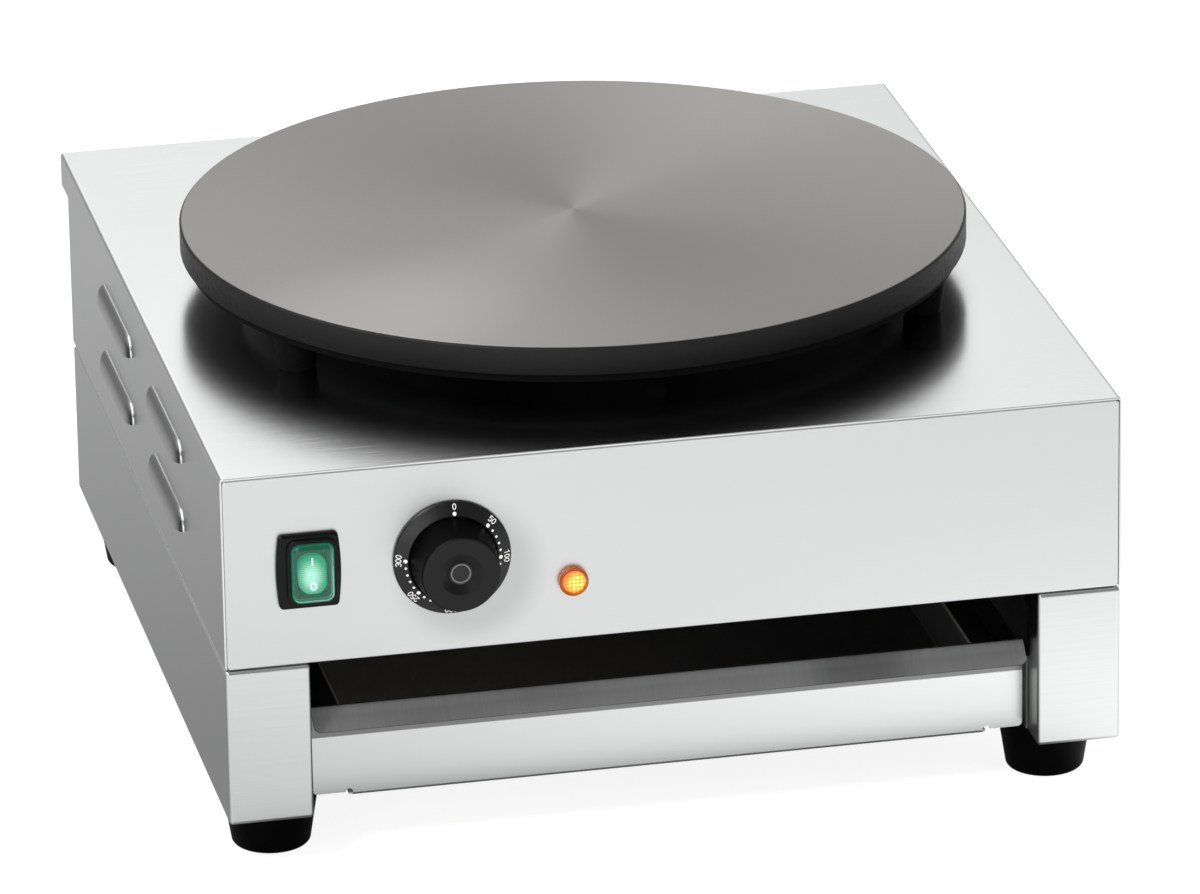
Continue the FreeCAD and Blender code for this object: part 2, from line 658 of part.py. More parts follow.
def cooking_plate():
    """Cast disc with a thick rim, a hollow for the element and three tapered lugs."""
    top = PLATE_TOP
    profile = [
        (0, PLATE_LOWEST),
        (PLATE_STEP_RADIUS, PLATE_LOWEST),
        (PLATE_STEP_RADIUS, PLATE_RIM_BOTTOM),
        (PLATE_RADIUS - 0.8, PLATE_RIM_BOTTOM),
        (PLATE_RADIUS, PLATE_RIM_BOTTOM + 0.8),
        (PLATE_RADIUS, top - PLATE_CHAMFER),
        (PLATE_RADIUS - PLATE_CHAMFER, top),
        (0, top),
    ]
    plate = turned(profile, (0, PLATE_Y, 0), (0, 0, 1))
    for x, y in lug_places():
        foot = V(x, y, HOUSING_TOP)
        lug_height = PLATE_RIM_BOTTOM - HOUSING_TOP
        plate = plate.fuse(Part.makeCone(LUG_BOTTOM_RADIUS, LUG_TOP_RADIUS, lug_height, foot, V(0, 0, 1)))
    cavity_z = HOUSING_TOP + 5
    cavity = cylinder(PLATE_CAVITY_RADIUS, (0, PLATE_Y, cavity_z), (0, 0, 1), PLATE_UNDERSIDE - cavity_z)
    plate = plate.cut(cavity)
    for x, y in lug_places():
        plate = plate.cut(cylinder(STUD_RADIUS + 0.05, (x, y, HOUSING_TOP - 1), (0, 0, 1), STUD_GRIP + 2))
    for x, y in COVER_SCREWS:
        hole = cylinder(COVER_SCREW_RADIUS + PLAY / 2, (x, PLATE_Y + y, PLATE_UNDERSIDE - 1), (0, 0, 1), 5.5)
        plate = plate.cut(hole)
    return plate


def plate_studs():
    bottom = HOUSING_TOP + STUD_GRIP - STUD_LENGTH
    return group([cylinder(STUD_RADIUS, (x, y, bottom), (0, 0, 1), STUD_LENGTH) for x, y in lug_places()])


def plate_washers():
    radius, thickness = STUD_WASHER
    washers = []
    for x, y in lug_places():
        disc = cylinder(radius, (x, y, HOUSING_TOP - SHEET - thickness), (0, 0, 1), thickness)
        washers.append(disc.cut(cylinder(STUD_RADIUS + 0.3, (x, y, HOUSING_TOP - 5), (0, 0, 1), 5)))
    return group(washers)


def plate_nuts():
    across, height = STUD_NUT
    z = HOUSING_TOP - SHEET - STUD_WASHER[1] - height
    nuts = []
    for x, y in lug_places():
        nut = hexagon(across, (x, y, z), (0, 0, 1), height)
        nuts.append(nut.cut(cylinder(STUD_RADIUS + PLAY / 2, (x, y, z - 1), (0, 0, 1), height + 2)))
    return group(nuts)


def half_turn(centre_x, radius, upper):
    """Half a circle of the element, in its plane. The upper halves run from +X to -X, the lower back."""
    side = 1 if upper else -1
    start = V(centre_x + side * radius, PLATE_Y, ELEMENT_Z)
    middle = V(centre_x, PLATE_Y + side * radius, ELEMENT_Z)
    end = V(centre_x - side * radius, PLATE_Y, ELEMENT_Z)
    return Part.Arc(start, middle, end).toShape()


def element_leg(x, direction):
    """The vertical end of the element and its quarter bend into the coil's plane. direction is +1
    where the coil goes on towards +Y, -1 where it arrives from there."""
    bend_z = ELEMENT_Z - ELEMENT_BEND
    y_leg = PLATE_Y - direction * ELEMENT_BEND
    turn = ELEMENT_BEND * math.sqrt(0.5)
    knee = V(x, y_leg, bend_z)
    middle = V(x, PLATE_Y - direction * turn, bend_z + turn)
    top = V(x, PLATE_Y, ELEMENT_Z)
    line = Part.LineSegment(V(x, y_leg, ELEMENT_LEG_BOTTOM), knee).toShape()
    arc = Part.Arc(knee, middle, top).toShape()
    return [line, arc]


def heating_element():
    """One sheathed heater bar, coiled outwards in half turns, with both ends turned down."""
    edges = element_leg(ELEMENT_FIRST, 1)
    centre = 0.0
    radius = ELEMENT_FIRST
    upper = True
    for _ in range(ELEMENT_HALF_TURNS):
        edges.append(half_turn(centre, radius, upper))
        if upper:
            centre += ELEMENT_STEP
        else:
            centre -= ELEMENT_STEP
        radius += ELEMENT_STEP
        upper = not upper
    last_x = ELEMENT_FIRST + ELEMENT_STEP * ELEMENT_HALF_TURNS
    edges += element_leg(last_x, -1)[::-1]
    return tube_along(Part.Wire(edges), ELEMENT_RADIUS)


def through_cover(disc):
    """Cuts the holes that screws, element bends and capillary need in a disc under the plate."""
    bottom, height = PLATE_LOWEST - 5, 15
    for x, y in COVER_SCREWS:
        hole = cylinder(COVER_SCREW_RADIUS + 0.3, (x, PLATE_Y + y, bottom), (0, 0, 1), height)
        disc = disc.cut(hole)
    for x, y in LEAD_HOLES:
        disc = disc.cut(cylinder(2.2 * ELEMENT_RADIUS, (x, PLATE_Y + y, bottom), (0, 0, 1), height))
    x, y = capillary_hole()
    return disc.cut(cylinder(2.2, (x, y, bottom), (0, 0, 1), height))


def insulation_pad():
    low, high = INSULATION
    return through_cover(cylinder(COVER_RADIUS - 0.5, (0, PLATE_Y, low), (0, 0, 1), high - low))


def element_cover():
    """Thin dished sheet that holds the insulation up against the element."""
    low = PLATE_LOWEST + 0.1 - SHEET
    return through_cover(cylinder(COVER_RADIUS, (0, PLATE_Y, low), (0, 0, 1), SHEET))


def cover_screws():
    seat = PLATE_LOWEST + 0.1 - SHEET
    length = PLATE_UNDERSIDE + COVER_SCREW_BITE - seat
    screws = []
    for x, y in COVER_SCREWS:
        place = (x, PLATE_Y + y, seat)
        screws.append(dome_screw(place, (0, 0, -1), COVER_SCREW_RADIUS, *COVER_SCREW_HEAD, length))
    return group(screws)


def lead_bushes():
    """Ceramic bushes where the element's legs pass the top sheet."""
    flange_radius, thickness = LEAD_BUSH_FLANGE
    bushes = []
    for x, y in LEAD_HOLES:
        y += PLATE_Y
        bush = cylinder(LEAD_HOLE_RADIUS - PLAY, (x, y, HOUSING_TOP - 8), (0, 0, 1), 8)
        bush = bush.fuse(cylinder(flange_radius, (x, y, HOUSING_TOP), (0, 0, 1), thickness))
        bushes.append(bush.cut(cylinder(ELEMENT_RADIUS + PLAY, (x, y, HOUSING_TOP - 10), (0, 0, 1), 14)))
    return group(bushes)


def thermostat_bulb():
    z = PLATE_UNDERSIDE - BULB_RADIUS - PLAY
    bulb = cylinder(BULB_RADIUS, (-BULB_LENGTH / 2, PLATE_Y + BULB_Y, z), (1, 0, 0), BULB_LENGTH)
    return soften(bulb, 1.0, lambda p: near(abs(p.x), BULB_LENGTH / 2))


def capillary_tube():
    """Thin tube from the bulb, down through the top sheet and forward to the thermostat."""
    z = PLATE_UNDERSIDE - BULB_RADIUS - PLAY
    x, y = capillary_hole()
    dx, dz = DIAL_CENTRE
    low = HOUSING_TOP - 24.0
    back_y = FRONT + SHEET + THERMOSTAT_SIZE[1]
    points = [
        (-BULB_LENGTH / 2, y, z),
        (x, y, z),
        (x, y, low),
        (x, back_y + 40, low),
        (dx, back_y + 40, dz),
        (dx, back_y, dz),
    ]
    return tube_along(rounded_path(points, CAPILLARY_BEND), CAPILLARY_RADIUS)


# Controls

def thermostat_body():
    """Control thermostat behind the panel, bored for its spindle."""
    width, depth, height = THERMOSTAT_SIZE
    dx, dz = DIAL_CENTRE
    y0 = FRONT + SHEET
    body = box(dx - width / 2, dx + width / 2, y0 + 2, y0 + depth, dz - height / 2, dz + height / 2)
    body = body.makeFillet(1.5, body.Edges)
    bracket = box(dx - width / 2, dx + width / 2, y0, y0 + 3, dz - 11, dz + 11)
    body = body.fuse(bracket)
    body = body.cut(cylinder(SHAFT_RADIUS + SHAFT_PLAY, (dx, y0 - 1, dz), (0, 1, 0), SHAFT_IN + 1.2))
    for side in (-1, 1):
        x = dx + side * THERMOSTAT_SCREW_X
        body = body.cut(cylinder(THERMOSTAT_SCREW_RADIUS + PLAY / 2, (x, y0 - 1, dz), (0, 1, 0), 7))
    for side in (-1, 1):
        for z in (dz - 8, dz + 8):
            x = dx + side * (width / 2 + 4)
            x0, x1 = sorted((x - side * 5, x + side * 4))
            body = body.fuse(box(x0, x1, y0 + 18, y0 + 18.8, z - 3.1, z + 3.1))
    return body


def thermostat_screws():
    """Flat screws that stay hidden behind the dial."""
    dx, dz = DIAL_CENTRE
    screws = []
    for side in (-1, 1):
        x = dx + side * THERMOSTAT_SCREW_X
        head = Part.makeCylinder(3.4, 0.5, V(x, FRONT, dz), V(0, -1, 0))
        shank = cylinder(THERMOSTAT_SCREW_RADIUS, (x, FRONT - 0.1, dz), (0, 1, 0), 6)
        slot = box(x - 4, x + 4, FRONT - 1, FRONT - 0.2, dz - 0.5, dz + 0.5)
        screws.append(head.fuse(shank).cut(slot))
    return group(screws)


def thermostat_shaft():
    """Spindle with a flat, from inside the thermostat out to the knob."""
    dx, dz = DIAL_CENTRE
    length = SHEET + SHAFT_IN + SHAFT_OUT
    shaft = cylinder(SHAFT_RADIUS, (dx, FRONT + SHEET + SHAFT_IN, dz), (0, -1, 0), length)
    flat = box(dx - 5, dx + 5, FRONT - SHAFT_OUT - 1, FRONT - SHAFT_OUT + 12, dz + SHAFT_RADIUS - 1.2, dz + 5)
    return shaft.cut(flat)


def dial_skirt():
    """Conical disc that carries the scale, clipped round the hub."""
    dx, dz = DIAL_CENTRE
    profile = [
        (0, DIAL_GAP),
        (SKIRT_RADIUS, DIAL_GAP),
        (SKIRT_RADIUS, SKIRT_EDGE),
        (SKIRT_RADIUS - 0.5, SKIRT_EDGE + 0.5),
        (HUB_BASE_RADIUS + 0.6, SKIRT_TOP),
        (0, SKIRT_TOP),
    ]
    skirt = turned(profile, (dx, FRONT, dz), (0, -1, 0))
    return skirt.cut(cylinder(HUB_BASE_RADIUS - 1.0, (dx, FRONT, dz), (0, -1, 0), SKIRT_TOP + 1))


def knob_hub():
    """The round grip, hollow at the back, with a dished face and a bore for the spindle."""
    dx, dz = DIAL_CENTRE
    neck = HUB_BASE_RADIUS - 1.0 - 0.05
    profile = [
        (0, DIAL_GAP),
        (neck, DIAL_GAP),
        (neck, SKIRT_TOP),
        (HUB_BASE_RADIUS, SKIRT_TOP),
        (HUB_FACE_RADIUS, KNOB_OUT),
        (DISH_RADIUS, KNOB_OUT),
        (DISH_FLOOR_RADIUS, KNOB_OUT - DISH_DEPTH),
        (0, KNOB_OUT - DISH_DEPTH),
    ]
    hub = turned(profile, (dx, FRONT, dz), (0, -1, 0))
    face_y = FRONT - KNOB_OUT

    def on_rim(p):
        return near(p.y, face_y) and near(math.hypot(p.x - dx, p.z - dz), HUB_FACE_RADIUS)

    hub = soften(hub, 1.6, on_rim)
    hollow = cylinder(neck - 1.6, (dx, FRONT, dz), (0, -1, 0), KNOB_OUT - DISH_DEPTH - 3)
    stem = cylinder(6.0, (dx, FRONT - 1.5, dz), (0, -1, 0), KNOB_OUT)
    hub = hub.cut(hollow.cut(stem))
    bore = cylinder(SHAFT_RADIUS + SHAFT_PLAY, (dx, FRONT + 1, dz), (0, -1, 0), SHAFT_OUT + 1.3)
    return hub.cut(bore)


def knob_cap():
    """Small disc set into the knob's dish, with a raised ring."""
    dx, dz = DIAL_CENTRE
    floor = KNOB_OUT - DISH_DEPTH
    disc = cylinder(5.6, (dx, FRONT - floor, dz), (0, -1, 0), 0.5)
    ring = cylinder(5.0, (dx, FRONT - floor, dz), (0, -1, 0), 0.8)
    ring = ring.cut(cylinder(4.3, (dx, FRONT - floor - 0.5, dz), (0, -1, 0), 1))
    return disc.fuse(ring)


def bulged_plate(width, height, bulge, y0, y1, corner):
    """A plate in front of the panel whose two upright sides bow outwards."""
    x, z = SWITCH_CENTRE
    x += SWITCH_BEZEL_SHIFT
    half_w, half_h = width / 2 - bulge, height / 2
    corners = [(-half_w, -half_h), (half_w, -half_h), (half_w, half_h), (-half_w, half_h)]
    points = [V(x + cx, y0, z + cz) for cx, cz in corners]
    right = V(x + half_w + bulge, y0, z)
    left = V(x - half_w - bulge, y0, z)
    edges = [
        Part.LineSegment(points[0], points[1]).toShape(),
        Part.Arc(points[1], right, points[2]).toShape(),
        Part.LineSegment(points[2], points[3]).toShape(),
        Part.Arc(points[3], left, points[0]).toShape(),
    ]
    plate = Part.Face(Part.Wire(edges)).extrude(V(0, y1 - y0, 0))
    return soften(plate, corner, lambda p: near(abs(p.z - z), half_h) and near(abs(p.x - x), half_w))


def centred_block(size, y0, y1, corner):
    """A block on the switch's centre with rounded upright corners."""
    x, z = SWITCH_CENTRE
    half_w, half_h = size[0] / 2, size[1] / 2
    block = box(x - half_w, x + half_w, y0, y1, z - half_h, z + half_h)
    return soften(block, corner, lambda p: near(abs(p.x - x), half_w) and near(abs(p.z - z), half_h))


def switch_frame():
    """Black bezel, collar and body of the rocker switch, open in front for rocker and cap."""
    bezel_y = FRONT - SWITCH_BEZEL_OUT
    collar_y = FRONT - SWITCH_COLLAR_OUT
    frame = bulged_plate(*SWITCH_BEZEL, SWITCH_BULGE, bezel_y, FRONT, 2.4)
    frame = soften(frame, 1.7, lambda p: near(p.y, bezel_y))
    collar = centred_block(SWITCH_COLLAR, collar_y, FRONT - 1, 5.0)
    collar = soften(collar, 0.8, lambda p: near(p.y, collar_y))
    body = centred_block(SWITCH_BODY, FRONT - 1, FRONT + SWITCH_BODY_DEPTH, 1.0)
    well = centred_block((ROCKER_SIZE[0] + 0.8, ROCKER_SIZE[1] + 2.6), collar_y - 1, FRONT + 6.0, 1.0)
    well.translate(V(0, 0, -ROCKER_DROP))
    seat = centred_block((CAP_SIZE[0] + 0.1, CAP_SIZE[1] + 0.1), collar_y - 1, FRONT - 2.0, 4.0)
    return frame.fuse(collar).fuse(body).cut(well).cut(seat)


def switch_cap():
    """Clear soft cover over the rocker, seated in the collar."""
    base_y = FRONT - 2.05
    face_y = FRONT - CAP_OUT
    outer = centred_block(CAP_SIZE, face_y, base_y, 4.0)
    outer = soften(outer, 2.6, lambda p: near(p.y, face_y))
    inner_size = (CAP_SIZE[0] - 2 * CAP_WALL, CAP_SIZE[1] - 2 * CAP_WALL)
    inner = centred_block(inner_size, face_y + CAP_WALL, base_y + 1, 3.2)
    inner = soften(inner, 1.8, lambda p: near(p.y, face_y + CAP_WALL))
    return outer.cut(inner)


def rocker():
    """The rocking key, shown with its upper half pressed in."""
    x, z = SWITCH_CENTRE
    half_w, half_h = ROCKER_SIZE[0] / 2, ROCKER_SIZE[1] / 2
    face_y = FRONT - ROCKER_FACE_OUT
    root_y = FRONT - 0.5
    key = centred_block(ROCKER_SIZE, face_y - 0.2, root_y, ROCKER_CORNER)
    hollow_radius = (half_h ** 2 + ROCKER_DIP ** 2) / (2 * ROCKER_DIP)
    hollow_start = (x - half_w - 1, face_y + ROCKER_DIP - hollow_radius, z)
    key = key.cut(cylinder(hollow_radius, hollow_start, (1, 0, 0), ROCKER_SIZE[0] + 2))
    key = soften(key, 0.6, lambda p: p.y < face_y + ROCKER_DIP + 0.1)
    trunnion = cylinder(1.5, (x - half_w, FRONT + 0.6, z), (1, 0, 0), 2 * half_w)
    web = box(x - half_w + 2, x + half_w - 2, root_y - 1, FRONT + 0.6, z - 1.5, z + 1.5)
    key = key.fuse(trunnion).fuse(web)
    key.rotate(V(x, FRONT + 0.6, z), V(1, 0, 0), ROCKER_REST_TILT)
    key.translate(V(0, 0, -ROCKER_DROP))
    return key


def switch_terminals():
    """Four blades at the back of the switch."""
    y0 = FRONT + SWITCH_BODY_DEPTH
    blades = []
    for sx in (-1, 1):
        for sz in (-1, 1):
            x = SWITCH_CENTRE[0] + sx * SWITCH_BLADE[0]
            z = SWITCH_CENTRE[1] + sz * SWITCH_BLADE[1]
            blades.append(box(x - 0.4, x + 0.4, y0, y0 + 9, z - 3.1, z + 3.1))
    return group(blades)


def lamp_lens():
    """Amber lens: a rounded collar round a faceted face."""
    x, z = LAMP_CENTRE
    profile = [
        (0, 0),
        (LAMP_LENS_RADIUS, 0),
        (LAMP_LENS_RADIUS, LAMP_LENS_OUT - 1.4),
        (LAMP_LENS_RADIUS - 1.0, LAMP_LENS_OUT),
        (LAMP_LENS_RADIUS - 1.9, LAMP_LENS_OUT),
        (LAMP_LENS_RADIUS - 2.2, LAMP_LENS_OUT - 1.0),
        (0, LAMP_LENS_OUT - 0.6),
    ]
    return turned(profile, (x, FRONT, z), (0, -1, 0))


def lamp_body():
    x, z = LAMP_CENTRE
    body = cylinder(LAMP_BODY_RADIUS, (x, FRONT, z), (0, 1, 0), LAMP_BODY_DEPTH)
    end = FRONT + LAMP_BODY_DEPTH
    for side in (-1, 1):
        x0 = x + side * LAMP_BLADE_X
        body = body.fuse(box(x0 - 0.4, x0 + 0.4, end - 1, end + 7, z - 2.4, z + 2.4))
    return body


def lamp_nut():
    x, z = LAMP_CENTRE
    across, height = LAMP_NUT
    nut = hexagon(across, (x, FRONT + SHEET, z), (0, 1, 0), height)
    return nut.cut(cylinder(LAMP_BODY_RADIUS + PLAY / 2, (x, FRONT, z), (0, 1, 0), height + 3))


# Mains entry

def gland_body():
    """Cable gland: thread through the rear panel and a hexagon outside."""
    x, z = GLAND_CENTRE
    body = cylinder(GLAND_THREAD, (x, BACK - 11, z), (0, 1, 0), 12)
    body = body.fuse(hexagon(GLAND_HEX, (x, BACK, z), (0, 1, 0), 5))
    body = body.fuse(cylinder(GLAND_THREAD - 0.5, (x, BACK + 5, z), (0, 1, 0), 8))
    body = body.cut(cylinder(GLAND_BORE + 1.4, (x, BACK - 12, z), (0, 1, 0), 18))
    return body.cut(cylinder(GLAND_BORE + 3.2, (x, BACK + 5, z), (0, 1, 0), 9))


def gland_seal():
    """Rubber sleeve that grips the cable."""
    x, z = GLAND_CENTRE
    seal = cylinder(GLAND_BORE + 3.1, (x, BACK + 5.1, z), (0, 1, 0), 10)
    return seal.cut(cylinder(GLAND_BORE, (x, BACK + 4, z), (0, 1, 0), 13))


def gland_cap():
    """Dome nut that squeezes the seal."""
    x, z = GLAND_CENTRE
    grip = hexagon(GLAND_HEX - 1, (x, BACK + 5.2, z), (0, 1, 0), 8)
    profile = [(0, 0), (11.4, 0), (11.4, 2), (8.6, GLAND_LENGTH - 13.2), (0, GLAND_LENGTH - 13.2)]
    dome = turned(profile, (x, BACK + 13.2, z), (0, 1, 0))
    cap = grip.fuse(dome)
    cap = cap.cut(cylinder(GLAND_THREAD - 0.4, (x, BACK + 5, z), (0, 1, 0), 8.4))
    cap = cap.cut(cylinder(GLAND_BORE + 3.2, (x, BACK + 13, z), (0, 1, 0), 2.4))
    return cap.cut(cylinder(GLAND_BORE + 0.6, (x, BACK + 5, z), (0, 1, 0), GLAND_LENGTH))


def gland_locknut():
    x, z = GLAND_CENTRE
    across, height = GLAND_NUT
    nut = hexagon(across, (x, BACK - SHEET, z), (0, -1, 0), height)
    return nut.cut(cylinder(GLAND_THREAD + PLAY / 2, (x, BACK, z), (0, -1, 0), height + 4))


def terminal_block():
    """Three-way terminal block on the housing floor."""
    (x, y), z = BLOCK_CENTRE, HOUSING_BOTTOM
    depth = BLOCK_HALF_DEPTH
    block = box(x - 22, x + 22, y - depth, y + depth, z, z + 14)
    block = soften(block, 1.5, lambda p: near(p.z, z + 14))
    for k in (-1, 0, 1):
        way = x + BLOCK_PITCH * k
        block = block.cut(cylinder(2.6, (way, y, z + 7), (0, 0, 1), 8))
        block = block.cut(cylinder(2.4, (way, y - depth - 1, z + 5), (0, 1, 0), 6))
        block = block.cut(cylinder(2.4, (way, y + depth - 5, z + 5), (0, 1, 0), 6))
    return block


def terminal_screws():
    (x, y), z = BLOCK_CENTRE, HOUSING_BOTTOM + 7
    screws = []
    for k in (-1, 0, 1):
        way = x + BLOCK_PITCH * k
        screw = cylinder(2.5, (way, y, z), (0, 0, 1), 5)
        screws.append(screw.cut(box(way - 3, way + 3, y - 0.4, y + 0.4, z + 4, z + 6)))
    return group(screws)


def earth_stud():
    """Earth bolt on the housing floor, with its nut."""
    (x, y), z = EARTH_PLACE, HOUSING_BOTTOM
    stud = cylinder(2.5, (x, y, z), (0, 0, 1), 14)
    return stud.fuse(hexagon(8.0, (x, y, z), (0, 0, 1), 4))


# Drawer

def drawer_front():
    """Face and downturned pull flap in one sheet, with a hem below and relief notches beside it."""
    y0, y1 = DRAWER_FACE, DRAWER_FACE + SHEET
    top, bottom = DRAWER_FACE_TOP, DRAWER_FACE_BOTTOM
    slope = math.atan2(DRAWER_FLAP_DROP, DRAWER_FLAP_OUT)
    down = V(0, -math.cos(slope), -math.sin(slope))
    across = V(0, math.sin(slope), -math.cos(slope))
    crest = V(-DRAWER_HALF_WIDTH, y1, top)
    length = math.hypot(DRAWER_FLAP_OUT, DRAWER_FLAP_DROP)
    tip = crest + down * length
    under_tip = tip + across * SHEET
    meet = (y0 - under_tip.y) / -down.y
    inner = under_tip - down * meet
    outline = [
        V(-DRAWER_HALF_WIDTH, y1, bottom),
        crest,
        tip,
        under_tip,
        V(-DRAWER_HALF_WIDTH, inner.y, inner.z),
        V(-DRAWER_HALF_WIDTH, y0, bottom),
    ]
    front = Part.Face(Part.makePolygon(outline + [outline[0]])).extrude(V(2 * DRAWER_HALF_WIDTH, 0, 0))
    front = soften(front, 1.2, lambda p: near(p.y, y1) and near(p.z, top))

    def flap_corner(p):
        return near(abs(p.x), DRAWER_HALF_WIDTH) and p.y < tip.y + 0.9

    front = soften(front, DRAWER_FLAP_CORNER, flap_corner)

    def wing_corner(p):
        return near(abs(p.x), DRAWER_HALF_WIDTH) and near(p.z, bottom)

    front = soften(front, 2.5, wing_corner)
    apron_half = PAN_HALF_WIDTH - 1
    low = DRAWER_APRON_BOTTOM
    apron = box(-apron_half, apron_half, y0, y1, low, bottom + 1)
    hem = box(-NOTCH_X, NOTCH_X, y0 + BEND, y0 + DRAWER_HEM, low, low + SHEET)
    bend = box(-apron_half, apron_half, y0, y0 + BEND + 1, low, low + SHEET)
    front = front.fuse([apron, hem, bend]).removeSplitter()
    front = soften(front, BEND - 0.4, lambda p: near(p.y, y0) and near(p.z, low))
    for side in (-1, 1):
        notch = cylinder(NOTCH_RADIUS, (side * NOTCH_X, y0 - 1, bottom), (0, 1, 0), 1 + BEND)
        front = front.cut(notch)
    return front


def drawer_pan():
    """Drip pan with side flanges that ride in the runners."""
    x, y0, y1 = PAN_HALF_WIDTH, PAN_FRONT, PAN_REAR
    outer = box(-x, x, y0, y1, PAN_BOTTOM, PAN_FLANGE_Z + SHEET)
    outer = soften(outer, BEND, lambda p: near(p.z, PAN_BOTTOM) and (near(abs(p.x), x) or near(p.y, y1)))
    floor_z = PAN_BOTTOM + SHEET
    inner = box(-x + SHEET, x - SHEET, y0 + SHEET, y1 - SHEET, floor_z, PAN_FLANGE_Z + 5)
    inner = soften(inner, BEND - SHEET, lambda p: near(p.z, floor_z) and not near(p.y, y0 + SHEET))
    pan = outer.cut(inner)
    for side in (-1, 1):
        x0, x1 = sorted((side * (PAN_HALF_WIDTH - SHEET), side * PAN_FLANGE_HALF))
        flange = box(x0, x1, PAN_FRONT, PAN_REAR, PAN_FLANGE_Z, PAN_FLANGE_Z + SHEET)
        pan = pan.fuse(flange)
    pan = pan.removeSplitter()
    top = PAN_FLANGE_Z + SHEET
    return soften(pan, PAN_LIP_EDGE, lambda p: near(p.z, top) and near(abs(p.x), x - SHEET))


def supply_leads():
    """Leads from the terminal block: to the switch, from the element and to the lamp."""
    sx, sz = SWITCH_CENTRE[0] - SWITCH_BLADE[0], SWITCH_CENTRE[1] - SWITCH_BLADE[1]
    switch_y = FRONT + SWITCH_BODY_DEPTH + 9.2
    lx, lz = LAMP_CENTRE[0] + LAMP_BLADE_X, LAMP_CENTRE[1]
    lamp_y = FRONT + LAMP_BODY_DEPTH + 7.2
    x = BLOCK_CENTRE[0]
    y = BLOCK_CENTRE[1] - BLOCK_HALF_DEPTH - 0.2
    z = HOUSING_BOTTOM + 5.0
    low = HOUSING_BOTTOM + 8.0
    coil_x, coil_y = LEAD_HOLES[1][0], PLATE_Y + LEAD_HOLES[1][1]
    top = ELEMENT_LEG_BOTTOM - 0.3
    line_x, lamp_x = x - BLOCK_PITCH, x + BLOCK_PITCH
    to_switch = [(line_x, y, z), (line_x, y - 60, low), (sx, switch_y + 90, low)]
    to_switch += [(sx, switch_y + 20, sz), (sx, switch_y, sz)]
    from_coil = [(coil_x, coil_y, top), (coil_x, coil_y, top - 50), (x, y - 50, z), (x, y, z)]
    to_lamp = [(lamp_x, y, z), (lamp_x, y - 30, z), (lx, lamp_y + 60, low)]
    to_lamp += [(lx, lamp_y + 22, lz), (lx, lamp_y, lz)]
    return [to_switch, from_coil, to_lamp]


def control_leads():
    """Leads from the switch to the thermostat, and on to the element and the lamp."""
    sx, sz = SWITCH_CENTRE[0] - SWITCH_BLADE[0], SWITCH_CENTRE[1] + SWITCH_BLADE[1]
    switch_y = FRONT + SWITCH_BODY_DEPTH + 9.2
    dx, dz = DIAL_CENTRE
    near_x, far_x = dx - 14.0, dx + 14.0
    dial_y = FRONT + SHEET + THERMOSTAT_SIZE[1] + 0.2
    lx, lz = LAMP_CENTRE[0] - LAMP_BLADE_X, LAMP_CENTRE[1]
    lamp_y = FRONT + LAMP_BODY_DEPTH + 7.2
    coil_x, coil_y = LEAD_HOLES[0][0], PLATE_Y + LEAD_HOLES[0][1]
    top = ELEMENT_LEG_BOTTOM - 0.3
    to_dial = [(sx, switch_y, sz), (sx, switch_y + 24, sz)]
    to_dial += [(near_x, dial_y + 26, dz + 12), (near_x, dial_y, dz + 12)]
    to_coil = [(far_x, dial_y, dz - 12), (far_x, dial_y + 60, dz - 12), (coil_x, coil_y, top - 30)]
    to_coil += [(coil_x, coil_y, top)]
    to_lamp = [(far_x, dial_y, dz + 4), (far_x, dial_y + 22, dz + 4), (lx, lamp_y + 24, lz), (lx, lamp_y, lz)]
    return [to_dial, to_coil, to_lamp]


def wiring():
    """Insulated leads inside the housing."""
    routes = supply_leads() + control_leads()
    return group([tube_along(rounded_path(points, WIRE_BEND), WIRE_RADIUS) for points in routes])


